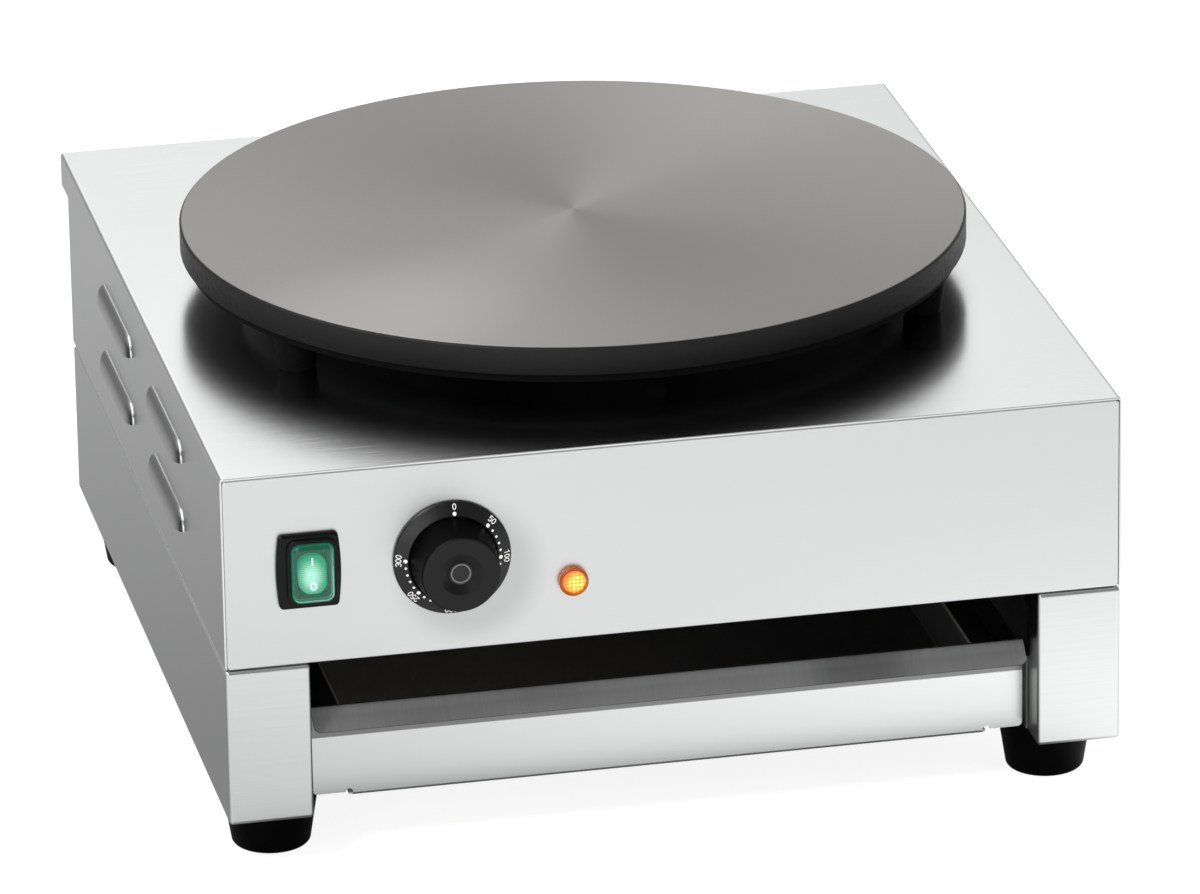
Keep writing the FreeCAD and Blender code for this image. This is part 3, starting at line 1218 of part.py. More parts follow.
def build():
    feet = {f"foot_{name}": rubber_foot(place) for name, place in foot_places().items()}
    rail = base_rail()
    slide = runner()
    parts = {
        "housing_shell": housing_shell(),
        "front_panel": front_panel(),
        "rear_panel": rear_panel(),
        "housing_floor": housing_floor(),
        "rear_panel_screws": rear_screws(),
        "base_screws": base_screws(),
        "base_rail_right": rail,
        "base_rail_left": turned_round(rail),
        "rear_base_panel": rear_base_panel(),
        "drawer_runner_right": slide,
        "drawer_runner_left": mirrored(slide),
        "drawer_stops": drawer_stops(),
        "runner_rivets": runner_rivets(),
        "foot_screws": foot_screws(),
        "foot_nuts": foot_nuts(),
        "cooking_plate": cooking_plate(),
        "plate_studs": plate_studs(),
        "plate_washers": plate_washers(),
        "plate_nuts": plate_nuts(),
        "heating_element": heating_element(),
        "insulation_pad": insulation_pad(),
        "element_cover": element_cover(),
        "cover_screws": cover_screws(),
        "lead_bushes": lead_bushes(),
        "thermostat_bulb": thermostat_bulb(),
        "capillary_tube": capillary_tube(),
        "thermostat_body": thermostat_body(),
        "thermostat_screws": thermostat_screws(),
        "thermostat_shaft": thermostat_shaft(),
        "dial_skirt": dial_skirt(),
        "knob_hub": knob_hub(),
        "knob_cap": knob_cap(),
        "switch_frame": switch_frame(),
        "switch_cap": switch_cap(),
        "switch_rocker": rocker(),
        "switch_terminals": switch_terminals(),
        "lamp_lens": lamp_lens(),
        "lamp_body": lamp_body(),
        "lamp_nut": lamp_nut(),
        "gland_body": gland_body(),
        "gland_seal": gland_seal(),
        "gland_cap": gland_cap(),
        "gland_locknut": gland_locknut(),
        "terminal_block": terminal_block(),
        "terminal_screws": terminal_screws(),
        "earth_stud": earth_stud(),
        "wiring": wiring(),
        "drawer_front": drawer_front(),
        "drawer_pan": drawer_pan(),
        **feet,
    }
    os.makedirs("parts", exist_ok=True)
    for name, shape in parts.items():
        solids = shape.Solids
        whole = shape.isValid() and all(s.isValid() and s.Volume > 0 for s in solids)
        note = "" if whole else "  NOT VALID"
        print(f"{name:22s} {len(solids)} solids, {sum(s.Volume for s in solids):12.1f} mm3{note}")
        out = solids[0] if len(solids) == 1 else group(solids)
        out.exportStep(f"parts/{name}.step")


build()
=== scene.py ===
"""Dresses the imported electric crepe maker: steel, cast plate, controls, printed scale and studio."""

import json
import math

import bmesh
import bpy
from bpy.props import FloatProperty, FloatVectorProperty, PointerProperty
from bpy.types import Operator, Panel, PropertyGroup
from mathutils import Matrix, Vector


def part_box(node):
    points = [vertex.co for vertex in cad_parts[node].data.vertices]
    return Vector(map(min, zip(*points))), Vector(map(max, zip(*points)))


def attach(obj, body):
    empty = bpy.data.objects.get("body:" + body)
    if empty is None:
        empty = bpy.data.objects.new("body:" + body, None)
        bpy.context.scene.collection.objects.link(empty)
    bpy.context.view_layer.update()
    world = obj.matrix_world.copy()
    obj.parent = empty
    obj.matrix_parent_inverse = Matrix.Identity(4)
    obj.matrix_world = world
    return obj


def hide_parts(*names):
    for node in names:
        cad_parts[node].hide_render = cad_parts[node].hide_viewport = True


bl_info = {
    "name": "Crepe Maker Finish",
    "version": (1, 0, 0),
    "blender": (4, 5, 0),
    "location": "View3D > Sidebar > Crepe Maker",
    "description": "Materials, printed scale, lamps and camera for an electric crepe maker",
    "category": "Object",
}

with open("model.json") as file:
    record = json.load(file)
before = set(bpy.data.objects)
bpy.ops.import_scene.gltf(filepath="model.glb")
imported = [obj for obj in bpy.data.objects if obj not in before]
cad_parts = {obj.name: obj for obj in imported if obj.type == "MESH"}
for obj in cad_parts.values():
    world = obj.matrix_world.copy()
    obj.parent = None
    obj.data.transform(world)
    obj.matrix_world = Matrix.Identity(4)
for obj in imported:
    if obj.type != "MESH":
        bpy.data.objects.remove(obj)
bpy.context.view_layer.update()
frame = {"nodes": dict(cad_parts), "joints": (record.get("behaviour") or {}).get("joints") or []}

MM = 0.001
SENSOR_WIDTH = 36.0

# Places read from the frame, and sizes of its parts
PANEL_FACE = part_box("front_panel")[0].y
PLATE_LOW, PLATE_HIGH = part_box("cooking_plate")
PLATE_CENTRE = (PLATE_LOW + PLATE_HIGH) / 2
RIM_BOTTOM_Z = PLATE_HIGH.z - 15.0 * MM
DRAWER_LOW, DRAWER_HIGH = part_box("drawer_front")
DRAWER_FACE = DRAWER_LOW.y + 11.0 * MM
PAN_LOW, PAN_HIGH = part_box("drawer_pan")
PAN_WALL_X = 160.0 * MM
SIDE_X = 225.0 * MM
LEG_INNER_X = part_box("base_rail_right")[0].x
SKIRT_LOW, SKIRT_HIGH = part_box("dial_skirt")
DIAL_CENTRE = (SKIRT_LOW + SKIRT_HIGH) / 2
LENS_LOW, LENS_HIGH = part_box("lamp_lens")
LENS_CENTRE = (LENS_LOW + LENS_HIGH) / 2
LENS_RADIUS = (LENS_HIGH.x - LENS_LOW.x) / 2
KEY_PIVOT = next(Vector(joint["pos_m"]) for joint in frame["joints"] if joint["name"] == "rocker_tip")


def colour(name, description, default):
    return FloatVectorProperty(
        name=name, description=description, subtype="COLOR", size=3, min=0.0, max=1.0, default=default
    )


def length(name, description, default):
    return FloatProperty(
        name=name, description=description, default=default, unit="LENGTH", min=0.0, precision=5
    )


def factor(name, description, default):
    return FloatProperty(
        name=name, description=description, default=default, subtype="FACTOR", min=0.0, max=1.0
    )


def power(name, description, default):
    return FloatProperty(name=name, description=description, default=default, unit="POWER", min=0.0)


class SteelFinish(PropertyGroup):
    """Brushed stainless sheet."""

    tint: colour("Steel", "Colour of the stainless sheet", (0.765, 0.776, 0.776))
    roughness: factor("Roughness", "How far the brushing blurs reflections", 0.30)
    streak_width: length("Streak width", "Distance between brushing marks", 0.7 * MM)
    streak_run: length("Streak length", "Length of a brushing mark", 60.0 * MM)


class GriddleFinish(PropertyGroup):
    """Ground top and dark cast rim of the plate."""

    top_tint: colour("Ground top", "Colour of the ground cooking face", (0.33, 0.326, 0.318))
    rim_tint: colour("Cast rim", "Colour of the oiled cast rim", (0.030, 0.029, 0.028))
    # The underside's near-black is painted shade over the dark cast iron: underside and lugs sit in deep
    # shadow below the rim
    underside_shade_tint: colour("Underside", "Colour of the sooty underside and lugs", (0.010, 0.010, 0.010))
    ring_pitch: length("Turning pitch", "Distance between the lathe marks", 0.6 * MM)


class DialPrint(PropertyGroup):
    """Scale printed on the dial's skirt."""

    ink: colour("Print", "Colour of the figures and dots", (0.92, 0.92, 0.90))
    figure_height: length("Figure height", "Height of the figures", 2.6 * MM)
    figure_radius: length("Figure circle", "Radius of the circle under the figures", 25.65 * MM)
    dot_circle: length("Dot circle", "Radius of the circle of dots", 23.65 * MM)
    stroke: length("Stroke", "Width of a figure's stroke", 0.36 * MM)


class LightedParts(PropertyGroup):
    """Switch key and pilot lamp."""

    key_edge: colour("Key edge", "Green at the key's edge", (0.0, 0.26, 0.13))
    key_core: colour("Key core", "Pale green over the key's bulb", (0.95, 1.0, 0.97))
    lens_edge: colour("Lens edge", "Red-orange of the lens collar", (0.50, 0.10, 0.006))
    lens_core: colour("Lens core", "Yellow over the lamp", (1.0, 0.80, 0.20))


class Studio(PropertyGroup):
    """Lamps, floor and camera."""

    floor_size: length("Floor", "Side of the square floor", 12.0)
    back_lamp: power("Back lamp", "Power of the lamp behind", 6.0)
    front_lamp: power("Front lamp", "Power of the lamp in front", 12.0)
    ambient: factor("Ambient", "Level of the light from all round", 0.50)
    focal_length: FloatProperty(name="Focal length", description="Camera lens", default=277.8, unit="CAMERA")


# Node and mesh helpers

class Nodes:
    """Short ways to add nodes to an emptied node tree."""

    def __init__(self, tree):
        self.tree = tree
        tree.nodes.clear()

    def add(self, kind, **settings):
        node = self.tree.nodes.new(kind)
        for key, value in settings.items():
            setattr(node, key, value)
        return node

    def feed(self, socket, value):
        """Links a socket to an output, or sets its value."""
        if isinstance(value, bpy.types.NodeSocket):
            self.tree.links.new(value, socket)
        elif socket.type == "RGBA":
            socket.default_value = (*value, 1.0)
        else:
            socket.default_value = value

    def math(self, operation, first, second=0.0):
        node = self.add("ShaderNodeMath", operation=operation)
        self.feed(node.inputs[0], first)
        self.feed(node.inputs[1], second)
        return node.outputs[0]

    def times(self, first, second):
        return self.math("MULTIPLY", first, second)

    def invert(self, value):
        return self.math("SUBTRACT", 1.0, value)

    def apart(self, value, middle=0.0):
        """How far a value is from the middle one."""
        return self.math("ABSOLUTE", self.math("SUBTRACT", value, middle))

    def vector_math(self, operation, first, second=(0.0, 0.0, 0.0)):
        node = self.add("ShaderNodeVectorMath", operation=operation)
        self.feed(node.inputs[0], first)
        self.feed(node.inputs[1], second)
        return node.outputs["Value" if operation in ("LENGTH", "DOT_PRODUCT") else "Vector"]

    def axis(self, vector, index):
        node = self.add("ShaderNodeSeparateXYZ")
        self.feed(node.inputs[0], vector)
        return node.outputs[index]

    def remap(self, value, from_low, from_high, to_low, to_high, smooth=False):
        node = self.add("ShaderNodeMapRange", clamp=True)
        node.interpolation_type = "SMOOTHSTEP" if smooth else "LINEAR"
        self.feed(node.inputs["Value"], value)
        node.inputs["From Min"].default_value = from_low
        node.inputs["From Max"].default_value = from_high
        node.inputs["To Min"].default_value = to_low
        node.inputs["To Max"].default_value = to_high
        return node.outputs["Result"]

    def blend(self, amount, first, second):
        """The first number where amount is 0 and the second where it is 1."""
        return self.math("ADD", self.times(self.invert(amount), first), self.times(amount, second))

    def choose(self, amount, first, second):
        """The first shader where amount is 0 and the second where it is 1."""
        node = self.add("ShaderNodeMixShader")
        for socket, source in zip(node.inputs, (amount, first, second)):
            self.feed(socket, source)
        return node.outputs[0]

    def mirror_rays(self, path):
        """1 for rays that bright metal or clear plastic sends out."""
        return self.math("MAXIMUM", path.outputs["Is Glossy Ray"], path.outputs["Is Transmission Ray"])


class Shading(Nodes):
    """A new node material with its shader."""

    def __init__(self, name):
        self.material = bpy.data.materials.new(name)
        self.material.use_nodes = True
        super().__init__(self.material.node_tree)
        self.output = self.add("ShaderNodeOutputMaterial")
        self.shader = self.add("ShaderNodeBsdfPrincipled")
        self.feed(self.output.inputs["Surface"], self.shader.outputs["BSDF"])
        self.place = self.add("ShaderNodeTexCoord").outputs["Object"]

    def set(self, **inputs):
        """Sets or links the shader's own sockets; a name's underscores stand for spaces."""
        for key, value in inputs.items():
            self.feed(self.shader.inputs[key.replace("_", " ")], value)

    def scaled(self, scale, offset=(0.0, 0.0, 0.0)):
        """Object coordinates less offset, then multiplied by scale."""
        return self.vector_math("MULTIPLY", self.vector_math("SUBTRACT", self.place, offset), scale)

    def along(self, index):
        """The place along X, Y or Z."""
        return self.axis(self.place, index)

    def facing(self, index):
        """How far the surface faces along an axis, from -1 to 1."""
        return self.axis(self.add("ShaderNodeTexCoord").outputs["Normal"], index)

    def radius(self, centre, flat_axis):
        """Distance from an axis through centre, along X, Y or Z (flat_axis 0, 1 or 2)."""
        scale = [1.0, 1.0, 1.0]
        scale[flat_axis] = 0.0
        return self.vector_math("LENGTH", self.scaled(scale, centre))

    def noise(self, scale, detail, rough, vector=None):
        node = self.add("ShaderNodeTexNoise")
        self.feed(node.inputs["Vector"], vector or self.place)
        node.inputs["Scale"].default_value = scale
        node.inputs["Detail"].default_value = detail
        node.inputs["Roughness"].default_value = rough
        return node.outputs["Fac"]

    def grade(self, noise, low, high):
        """Spreads a noise, which lies mostly between 0.3 and 0.7, from low to high."""
        return self.remap(noise, 0.3, 0.7, low, high)

    def mix(self, amount, first, second):
        """The first colour where amount is 0 and the second where it is 1."""
        node = self.add("ShaderNodeMix", data_type="RGBA")
        self.feed(node.inputs["Factor"], amount)
        self.feed(node.inputs[6], first)
        self.feed(node.inputs[7], second)
        return node.outputs[2]

    def dim(self, tint, level):
        """The tint at a level from 0, for black, to 1."""
        return self.mix(level, (0.0, 0.0, 0.0), tint)

    def shade(self, tint, value, spread):
        """The tint, made lighter and darker by spread as value goes from 0 to 1."""
        low = tuple(max(0.0, c * (1.0 - spread)) for c in tint)
        high = tuple(min(1.0, c * (1.0 + spread)) for c in tint)
        return self.mix(value, low, high)

    def bump(self, height, depth, strength=1.0):
        node = self.add("ShaderNodeBump")
        node.inputs["Strength"].default_value = strength
        node.inputs["Distance"].default_value = depth
        self.feed(node.inputs["Height"], height)
        return node.outputs["Normal"]


def toned(tint, level):
    """A colour made darker or lighter."""
    return tuple(level * c for c in tint)


def dress(material, *names):
    """Gives the material to CAD nodes by name."""
    for name in names:
        node = frame["nodes"][name]
        if not node.material_slots:
            node.data.materials.append(material)
        for slot in node.material_slots:
            slot.material = material


def add_object(name, data):
    """A new object in the scene."""
    thing = bpy.data.objects.new(name, data)
    bpy.context.scene.collection.objects.link(thing)
    return thing


def make_piece(name, mesh, material, body):
    """A new piece of the object: it rides on a body and takes its finish from a slot."""
    mesh.materials.append(material)
    piece = add_object(name, mesh)
    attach(piece, body)
    return piece


def mesh_from(name, build):
    """A mesh made by build(bm), with outward faces and no doubled points."""
    bm = bmesh.new()
    build(bm)
    bmesh.ops.remove_doubles(bm, verts=bm.verts, dist=1e-7)
    bmesh.ops.recalc_face_normals(bm, faces=bm.faces)
    mesh = bpy.data.meshes.new(name)
    bm.to_mesh(mesh)
    bm.free()
    return mesh


def arc(cx, cy, rx, ry, start, end, steps=14):
    """Points on an ellipse from start to end, in degrees."""
    angles = [math.radians(start + (end - start) * k / steps) for k in range(steps + 1)]
    return [(cx + rx * math.cos(a), cy + ry * math.sin(a)) for a in angles]


FIGURE_WIDTH = 0.56


def figure_strokes(figure):
    """Strokes of a figure in a box FIGURE_WIDTH wide and 1 high, as lists of points."""
    w = FIGURE_WIDTH
    if figure == "0":
        return [arc(w / 2, 0.5, w / 2, 0.5, 90, 450, 28)]
    if figure == "1":
        return [[(0.08, 0.78), (0.32, 1.0), (0.32, 0.0)]]
    if figure == "2":
        return [arc(w / 2, 0.72, w / 2, 0.28, 165, -30) + [(0.0, 0.0), (w, 0.0)]]
    if figure == "3":
        upper = arc(w / 2, 0.76, w / 2, 0.24, 150, -90)
        return [upper + arc(w / 2, 0.26, w / 2, 0.26, 90, -150)[1:]]
    if figure == "5":
        bowl = arc(w / 2 - 0.02, 0.31, w / 2, 0.31, 118, -150)
        return [[(0.52, 1.0), (0.07, 1.0), (0.04, 0.56)] + bowl]
    raise ValueError(f"no strokes for {figure!r}")


def ribbon(points, width):
    """Left and right sides of a stroke of one width along the points, with its ends half a width on."""
    points = [Vector(p) for p in points]
    closed = (points[0] - points[-1]).length < 1e-6
    left, right = [], []
    last = len(points) - 1
    for k, p in enumerate(points):
        before = points[k - 1] if k else (points[-2] if closed else p)
        after = points[k + 1] if k < last else (points[1] if closed else p)
        into = (p - before).normalized() if (p - before).length else (after - p).normalized()
        out = (after - p).normalized() if (after - p).length else into
        along = (into + out).normalized()
        across = Vector((-along.y, along.x))
        widen = 1.0 / max(0.5, across.dot(Vector((-into.y, into.x))))
        reach = along * (width / 2) if not closed and k in (0, last) else Vector((0, 0))
        reach = -reach if k == 0 else reach
        left.append(p + reach + across * width / 2 * widen)
        right.append(p + reach - across * width / 2 * widen)
    return left, right


def raise_strip(bm, left, right, place, thickness):
    """A closed solid strip: place(point, height) gives a 3D position."""
    rows = []
    for a, b in zip(left, right):
        rows.append([bm.verts.new(place(p, h)) for p, h in ((a, 0), (b, 0), (b, thickness), (a, thickness))])
    for one, two in zip(rows, rows[1:]):
        for k in range(4):
            bm.faces.new((one[k], one[(k + 1) % 4], two[(k + 1) % 4], two[k]))
    closed = (Vector(left[0]) - Vector(left[-1])).length < 1e-9
    if not closed:
        bm.faces.new(rows[0])
        bm.faces.new(rows[-1][::-1])


def raise_disc(bm, centre, radius, place, thickness, steps=24):
    """A small round dot of the given thickness."""
    ring = arc(centre[0], centre[1], radius, radius, 0, 360, steps)[:-1]
    low = [bm.verts.new(place(Vector(p), 0)) for p in ring]
    high = [bm.verts.new(place(Vector(p), thickness)) for p in ring]
    bm.faces.new(low)
    bm.faces.new(high)
    for k in range(steps):
        n = (k + 1) % steps
        bm.faces.new((low[k], low[n], high[n], high[k]))


# Materials of the sheet metal

def brushed(name, finish, grain, depth, flat=None):
    """Starts a brushed stainless material. grain has 1 for each axis across which the marks follow
    closely; depth is their height in millimetres, and where flat is 1 they are faint. Returns the
    shading and its marks, from 0 to 1."""
    s = Shading(name)
    near, far = 1.0 / finish.streak_width, 1.0 / finish.streak_run
    streaks = s.noise(1.0, 2.5, 0.6, s.scaled(tuple(near if g else far for g in grain)))
    clouds = s.noise(9.0, 3.0, 0.5)
    if flat is not None:
        kept = s.invert(s.times(flat(s), 0.8))
        streaks = s.math("ADD", s.times(s.math("SUBTRACT", streaks, 0.5), kept), 0.5)
    marks = s.math("ADD", s.times(streaks, 0.75), s.times(clouds, 0.25))
    s.set(Metallic=1.0, Normal=s.bump(streaks, depth * MM, 0.6))
    return s, marks


def marked_roughness(s, marks, middle, spread=0.04):
    """Roughness that follows the brushing marks."""
    return s.remap(marks, 0.25, 0.75, middle - spread, middle + spread)


def steel_material(name, finish, grain, roughness, depth=0.012, shaded_within=0.0):
    """Plain brushed stainless, with painted shade darkening faces nearer the middle plane than the given
    distance.
    """
    s, marks = brushed(name, finish, grain, depth)
    level = 1.0
    # Painted shade on the faces nearest the middle plane, such as a base rail's inner side
    if shaded_within:
        level = s.remap(s.apart(s.along(0)), shaded_within, shaded_within + 1.6 * MM, 0.30, 1.0)
    s.set(Base_Color=s.dim(s.shade(finish.tint, marks, 4.0 * depth), level))
    s.set(Roughness=marked_roughness(s, marks, roughness))
    return s.material


# The painted reflection of the plate's dark underside on the top sheet, centred ahead of the plate's middle,
# as radii at which it is full and gone; then the same for the calmer brushing and the sharper reflections
# near the plate
REFLECTED_PLATE_CENTRE = PLATE_CENTRE - Vector((0.0, 34.0, 0.0)) * MM
PLATE_REFLECTION_RADII = (150.0 * MM, 200.0 * MM)
CALM_RADII = (190.0 * MM, 230.0 * MM)
SHARP_RADII = (190.0 * MM, 240.0 * MM)


def shell_material(finish, roughness):
    """Housing sheet: clear brushing on top, a painted dark reflection of the plate below it, calmer sides,
    and duller, stretched metal on the louvres, painted a little darker, with painted shade on their crests
    and at their front ends."""

    def near_plate(s, radii):
        ring = s.remap(s.radius(REFLECTED_PLATE_CENTRE, 2), *radii, 1.0, 0.0, True)
        return s.times(ring, s.remap(s.facing(2), 0.5, 0.9, 0.0, 1.0))

    def calm(s):
        side = s.remap(s.apart(s.along(0)), SIDE_X - 3 * MM, SIDE_X - 1 * MM, 0.0, 1.0)
        return s.math("MAXIMUM", side, s.times(near_plate(s, CALM_RADII), 1.15))

    s, marks = brushed("brushed_shell", finish, (0, 1, 0), 0.007, calm)
    sheet = s.shade(toned(finish.tint, 1.04), marks, 0.045)
    # Painted reflection: the plate's dark underside, painted as a dark patch on the top sheet below it
    sheet = s.mix(near_plate(s, PLATE_REFLECTION_RADII), sheet, toned(finish.tint, 0.12))
    # Painted shade on the louvres: darker on their up-facing crests, darkest at their front ends
    crest = s.remap(s.facing(2), 0.05, 0.35, 0.0, 1.0)
    end = s.remap(s.facing(1), -0.65, -0.20, 1.0, 0.0)
    louvre = s.mix(crest, toned(finish.tint, 0.93), toned(finish.tint, 0.38))
    louvre = s.mix(end, louvre, toned(finish.tint, 0.12))
    pressed = s.remap(s.apart(s.along(0)), SIDE_X + 0.1 * MM, SIDE_X + 0.7 * MM, 0.0, 1.0)
    s.set(Base_Color=s.mix(pressed, sheet, louvre))
    plain = marked_roughness(s, marks, roughness)
    plain = s.math("SUBTRACT", plain, s.times(near_plate(s, SHARP_RADII), 0.07))
    s.set(Roughness=s.math("ADD", plain, s.times(pressed, 0.20)))
    return s.material


KNOB_SHADE_CENTRE = DIAL_CENTRE + Vector((9.0, 0.0, -9.0)) * MM
KNOB_SHADE_RADII = (24.0 * MM, 42.0 * MM)


def panel_material(finish, roughness):
    """Control panel: fine even brushing, a little duller in the soft shade of the knob."""
    s, marks = brushed("brushed_panel", finish, (0, 0, 1), 0.004)
    level = s.remap(s.radius(KNOB_SHADE_CENTRE, 1), *KNOB_SHADE_RADII, 0.80, 1.0, True)
    s.set(Base_Color=s.dim(s.shade(finish.tint, marks, 0.016), level))
    s.set(Roughness=marked_roughness(s, marks, roughness))
    return s.material


FLAP_TIP_Z = DRAWER_HIGH.z - 11.0 * MM
FLAP_BEND_Y = DRAWER_FACE - 3.0 * MM
FLAP_DIM_X = 96.0 * MM


def drawer_material(finish, roughness):
    """Drawer front: brushed along its length, with a painted shade line under the flap. The flap is less
    shiny, brushed from crest to edge and painted darker as shade, with a painted highlight along its bend, a
    painted darker patch and a painted highlight on its lower edge."""
    s, marks = brushed("brushed_drawer", finish, (0, 0, 1), 0.008)
    height = s.along(2)
    on_flap = s.remap(s.along(1), DRAWER_FACE - 1.4 * MM, DRAWER_FACE - 0.2 * MM, 1.0, 0.0)
    streaks = s.noise(1.0, 3.0, 0.6, s.scaled((1.0 / (1.1 * MM), 12.0, 12.0)))
    clouds = s.noise(1.0, 2.0, 0.5, s.scaled((14.0, 2.0, 2.0)))
    # The flap: a darker copy of the steel, painted shade, mottled along its streaks
    shaded_steel = s.mix(s.remap(s.math("ADD", streaks, clouds), 0.7, 1.3, 0.0, 1.0),
                 toned(finish.tint, 0.68), toned(finish.tint, 0.80))
    # A painted highlight in a band along the flap's bend, and a painted darker patch right of the middle
    bend = s.remap(s.apart(s.along(1), FLAP_BEND_Y), 0.4 * MM, 2.8 * MM, 1.0, 0.86, True)
    patch = s.remap(s.apart(s.along(0), FLAP_DIM_X), 8.0 * MM, 36.0 * MM, 0.60, 1.0, True)
    shaded_steel = s.dim(shaded_steel, s.times(bend, patch))
    # A painted highlight on the flap's lower edge, then a painted dark line on the face just below the flap
    edge_highlight = s.times(on_flap, s.remap(height, FLAP_TIP_Z + 0.10 * MM, FLAP_TIP_Z + 0.25 * MM, 1.0, 0.0))
    shaded = s.remap(height, FLAP_TIP_Z - 6.3 * MM, FLAP_TIP_Z - 5.7 * MM, 1.0, 0.30)
    face = s.dim(s.shade(finish.tint, marks, 0.03), shaded)
    s.set(Base_Color=s.mix(edge_highlight, s.mix(on_flap, face, shaded_steel), (0.95, 0.95, 0.95)))
    s.set(Metallic=s.invert(s.math("MAXIMUM", edge_highlight, s.times(on_flap, 0.45))))
    s.set(Roughness=s.math("ADD", marked_roughness(s, marks, roughness, 0.03), s.times(on_flap, 0.10)))
    return s.material


def pan_material(finish, roughness):
    """Drip pan: a warm stained floor, painted darker to the right as shade, walls in a cooler grey painted
    as lit, painted highlights along their top edges and near their feet, and flanges painted near-black as
    shade in the runners."""
    s, marks = brushed("brushed_pan", finish, (1, 0, 0), 0.012)
    across, height = s.apart(s.along(0)), s.along(2)
    high = s.remap(height, PAN_HIGH.z - 1.2 * MM, PAN_HIGH.z - 0.5 * MM, 0.0, 1.0)
    at_wall = s.remap(across, PAN_WALL_X - 1.2 * MM, PAN_WALL_X - 0.9 * MM, 0.0, 1.0)
    flange = s.times(high, s.remap(across, PAN_WALL_X + 0.9 * MM, PAN_WALL_X + 1.3 * MM, 0.0, 1.0))
    edge = s.times(s.times(high, at_wall), s.invert(flange))
    wall = s.remap(height, PAN_LOW.z + 2.0 * MM, PAN_LOW.z + 2.5 * MM, 0.0, 1.0)
    corner = s.math("SUBTRACT", s.remap(height, PAN_LOW.z + 1.2 * MM, PAN_LOW.z + 1.6 * MM, 0.0, 1.0), wall)
    stain = s.noise(14.0, 3.0, 0.55)
    inside = s.mix(s.remap(stain, 0.35, 0.65, 0.0, 1.0), (0.88, 0.82, 0.73), (0.95, 0.92, 0.87))
    # Painted shade: the floor darker to the right
    inside = s.dim(inside, s.remap(s.along(0), -0.16, 0.09, 1.0, 0.16))
    # Painted light: the walls' inner faces a plain mid grey as lit, with a painted highlight near their foot
    inside = s.mix(s.times(at_wall, wall), inside, (0.50, 0.50, 0.49))
    inside = s.mix(s.times(at_wall, corner), inside, (0.95, 0.95, 0.93))
    tint = s.mix(s.times(marks, 0.3), inside, (0.5, 0.49, 0.47))
    # Painted shade: the flanges near-black in the runners; then a painted highlight along the walls' top
    # edges
    tint = s.mix(flange, tint, (0.035, 0.035, 0.035))
    s.set(Base_Color=s.mix(edge, tint, (0.95, 0.95, 0.94)))
    s.set(Metallic=s.math("SUBTRACT", 0.3, s.times(s.math("MAXIMUM", flange, edge), 0.3)))
    s.set(Roughness=marked_roughness(s, marks, roughness))
    return s.material


def rolled_steel_material(name, tint):
    """Plain cold-rolled sheet with a faint mottle, for runners, floor and inner sheets."""
    s = Shading(name)
    mottle = s.noise(260.0, 4.0, 0.6)
    clouds = s.noise(14.0, 2.0, 0.5)
    s.set(Base_Color=s.shade(tint, clouds, 0.10), Metallic=1.0)
    s.set(Roughness=s.grade(mottle, 0.34, 0.46), Normal=s.bump(mottle, 0.02 * MM, 0.5))
    return s.material


def screw_material():
    """Bright zinc on screws and nuts."""
    s = Shading("zinc_plate")
    grain = s.noise(700.0, 3.0, 0.6)
    s.set(Base_Color=s.shade((0.66, 0.67, 0.68), grain, 0.08), Metallic=1.0)
    s.set(Roughness=s.grade(grain, 0.22, 0.34), Normal=s.bump(grain, 0.02 * MM, 0.4))
    return s.material


class CREPE_OT_sheet_steel(Operator):
    """Brushed and rolled finishes on housing, base rails, panels, drawer and screws"""

    bl_idname = "crepe.sheet_steel"
    bl_label = "Finish Sheet Steel"

    def execute(self, context):
        finish = context.scene.crepe_steel
        rough = finish.roughness
        dress(shell_material(finish, rough - 0.05), "housing_shell")
        dress(panel_material(finish, rough + 0.08), "front_panel")
        back = steel_material("brushed_back", finish, (0, 0, 1), rough + 0.08, 0.004)
        dress(back, "rear_panel", "rear_base_panel")
        rail = steel_material("brushed_rail", finish, (0, 0, 1), rough + 0.02, 0.018, LEG_INNER_X)
        dress(rail, "base_rail_left", "base_rail_right")
        dress(drawer_material(finish, rough - 0.06), "drawer_front")
        dress(pan_material(finish, rough + 0.05), "drawer_pan")
        # A darker copy of the rolled sheet: painted shade for the inner sheets, runners and stops, which sit
        # in shadow
        shaded_steel = rolled_steel_material("shaded_sheet", (0.20, 0.20, 0.195))
        dress(shaded_steel, "housing_floor", "element_cover")
        dress(shaded_steel, "drawer_runner_left", "drawer_runner_right", "drawer_stops")
        rolled = rolled_steel_material("rolled_steel", (0.56, 0.56, 0.55))
        dress(rolled, "thermostat_shaft", "runner_rivets")
        zinc = screw_material()
        dress(zinc, "rear_panel_screws", "base_screws", "foot_screws", "foot_nuts", "thermostat_screws")
        dress(zinc, "plate_studs", "plate_washers", "plate_nuts", "cover_screws")
        dress(zinc, "terminal_screws", "earth_stud")
        return {"FINISHED"}


# Griddle plate

RIM_RING_PITCH = 0.8 * MM
# Middle of a painted sheen at the front left of the plate
SHEEN_CENTRE = PLATE_CENTRE + Vector((-130.0, -130.0, 0.0)) * MM


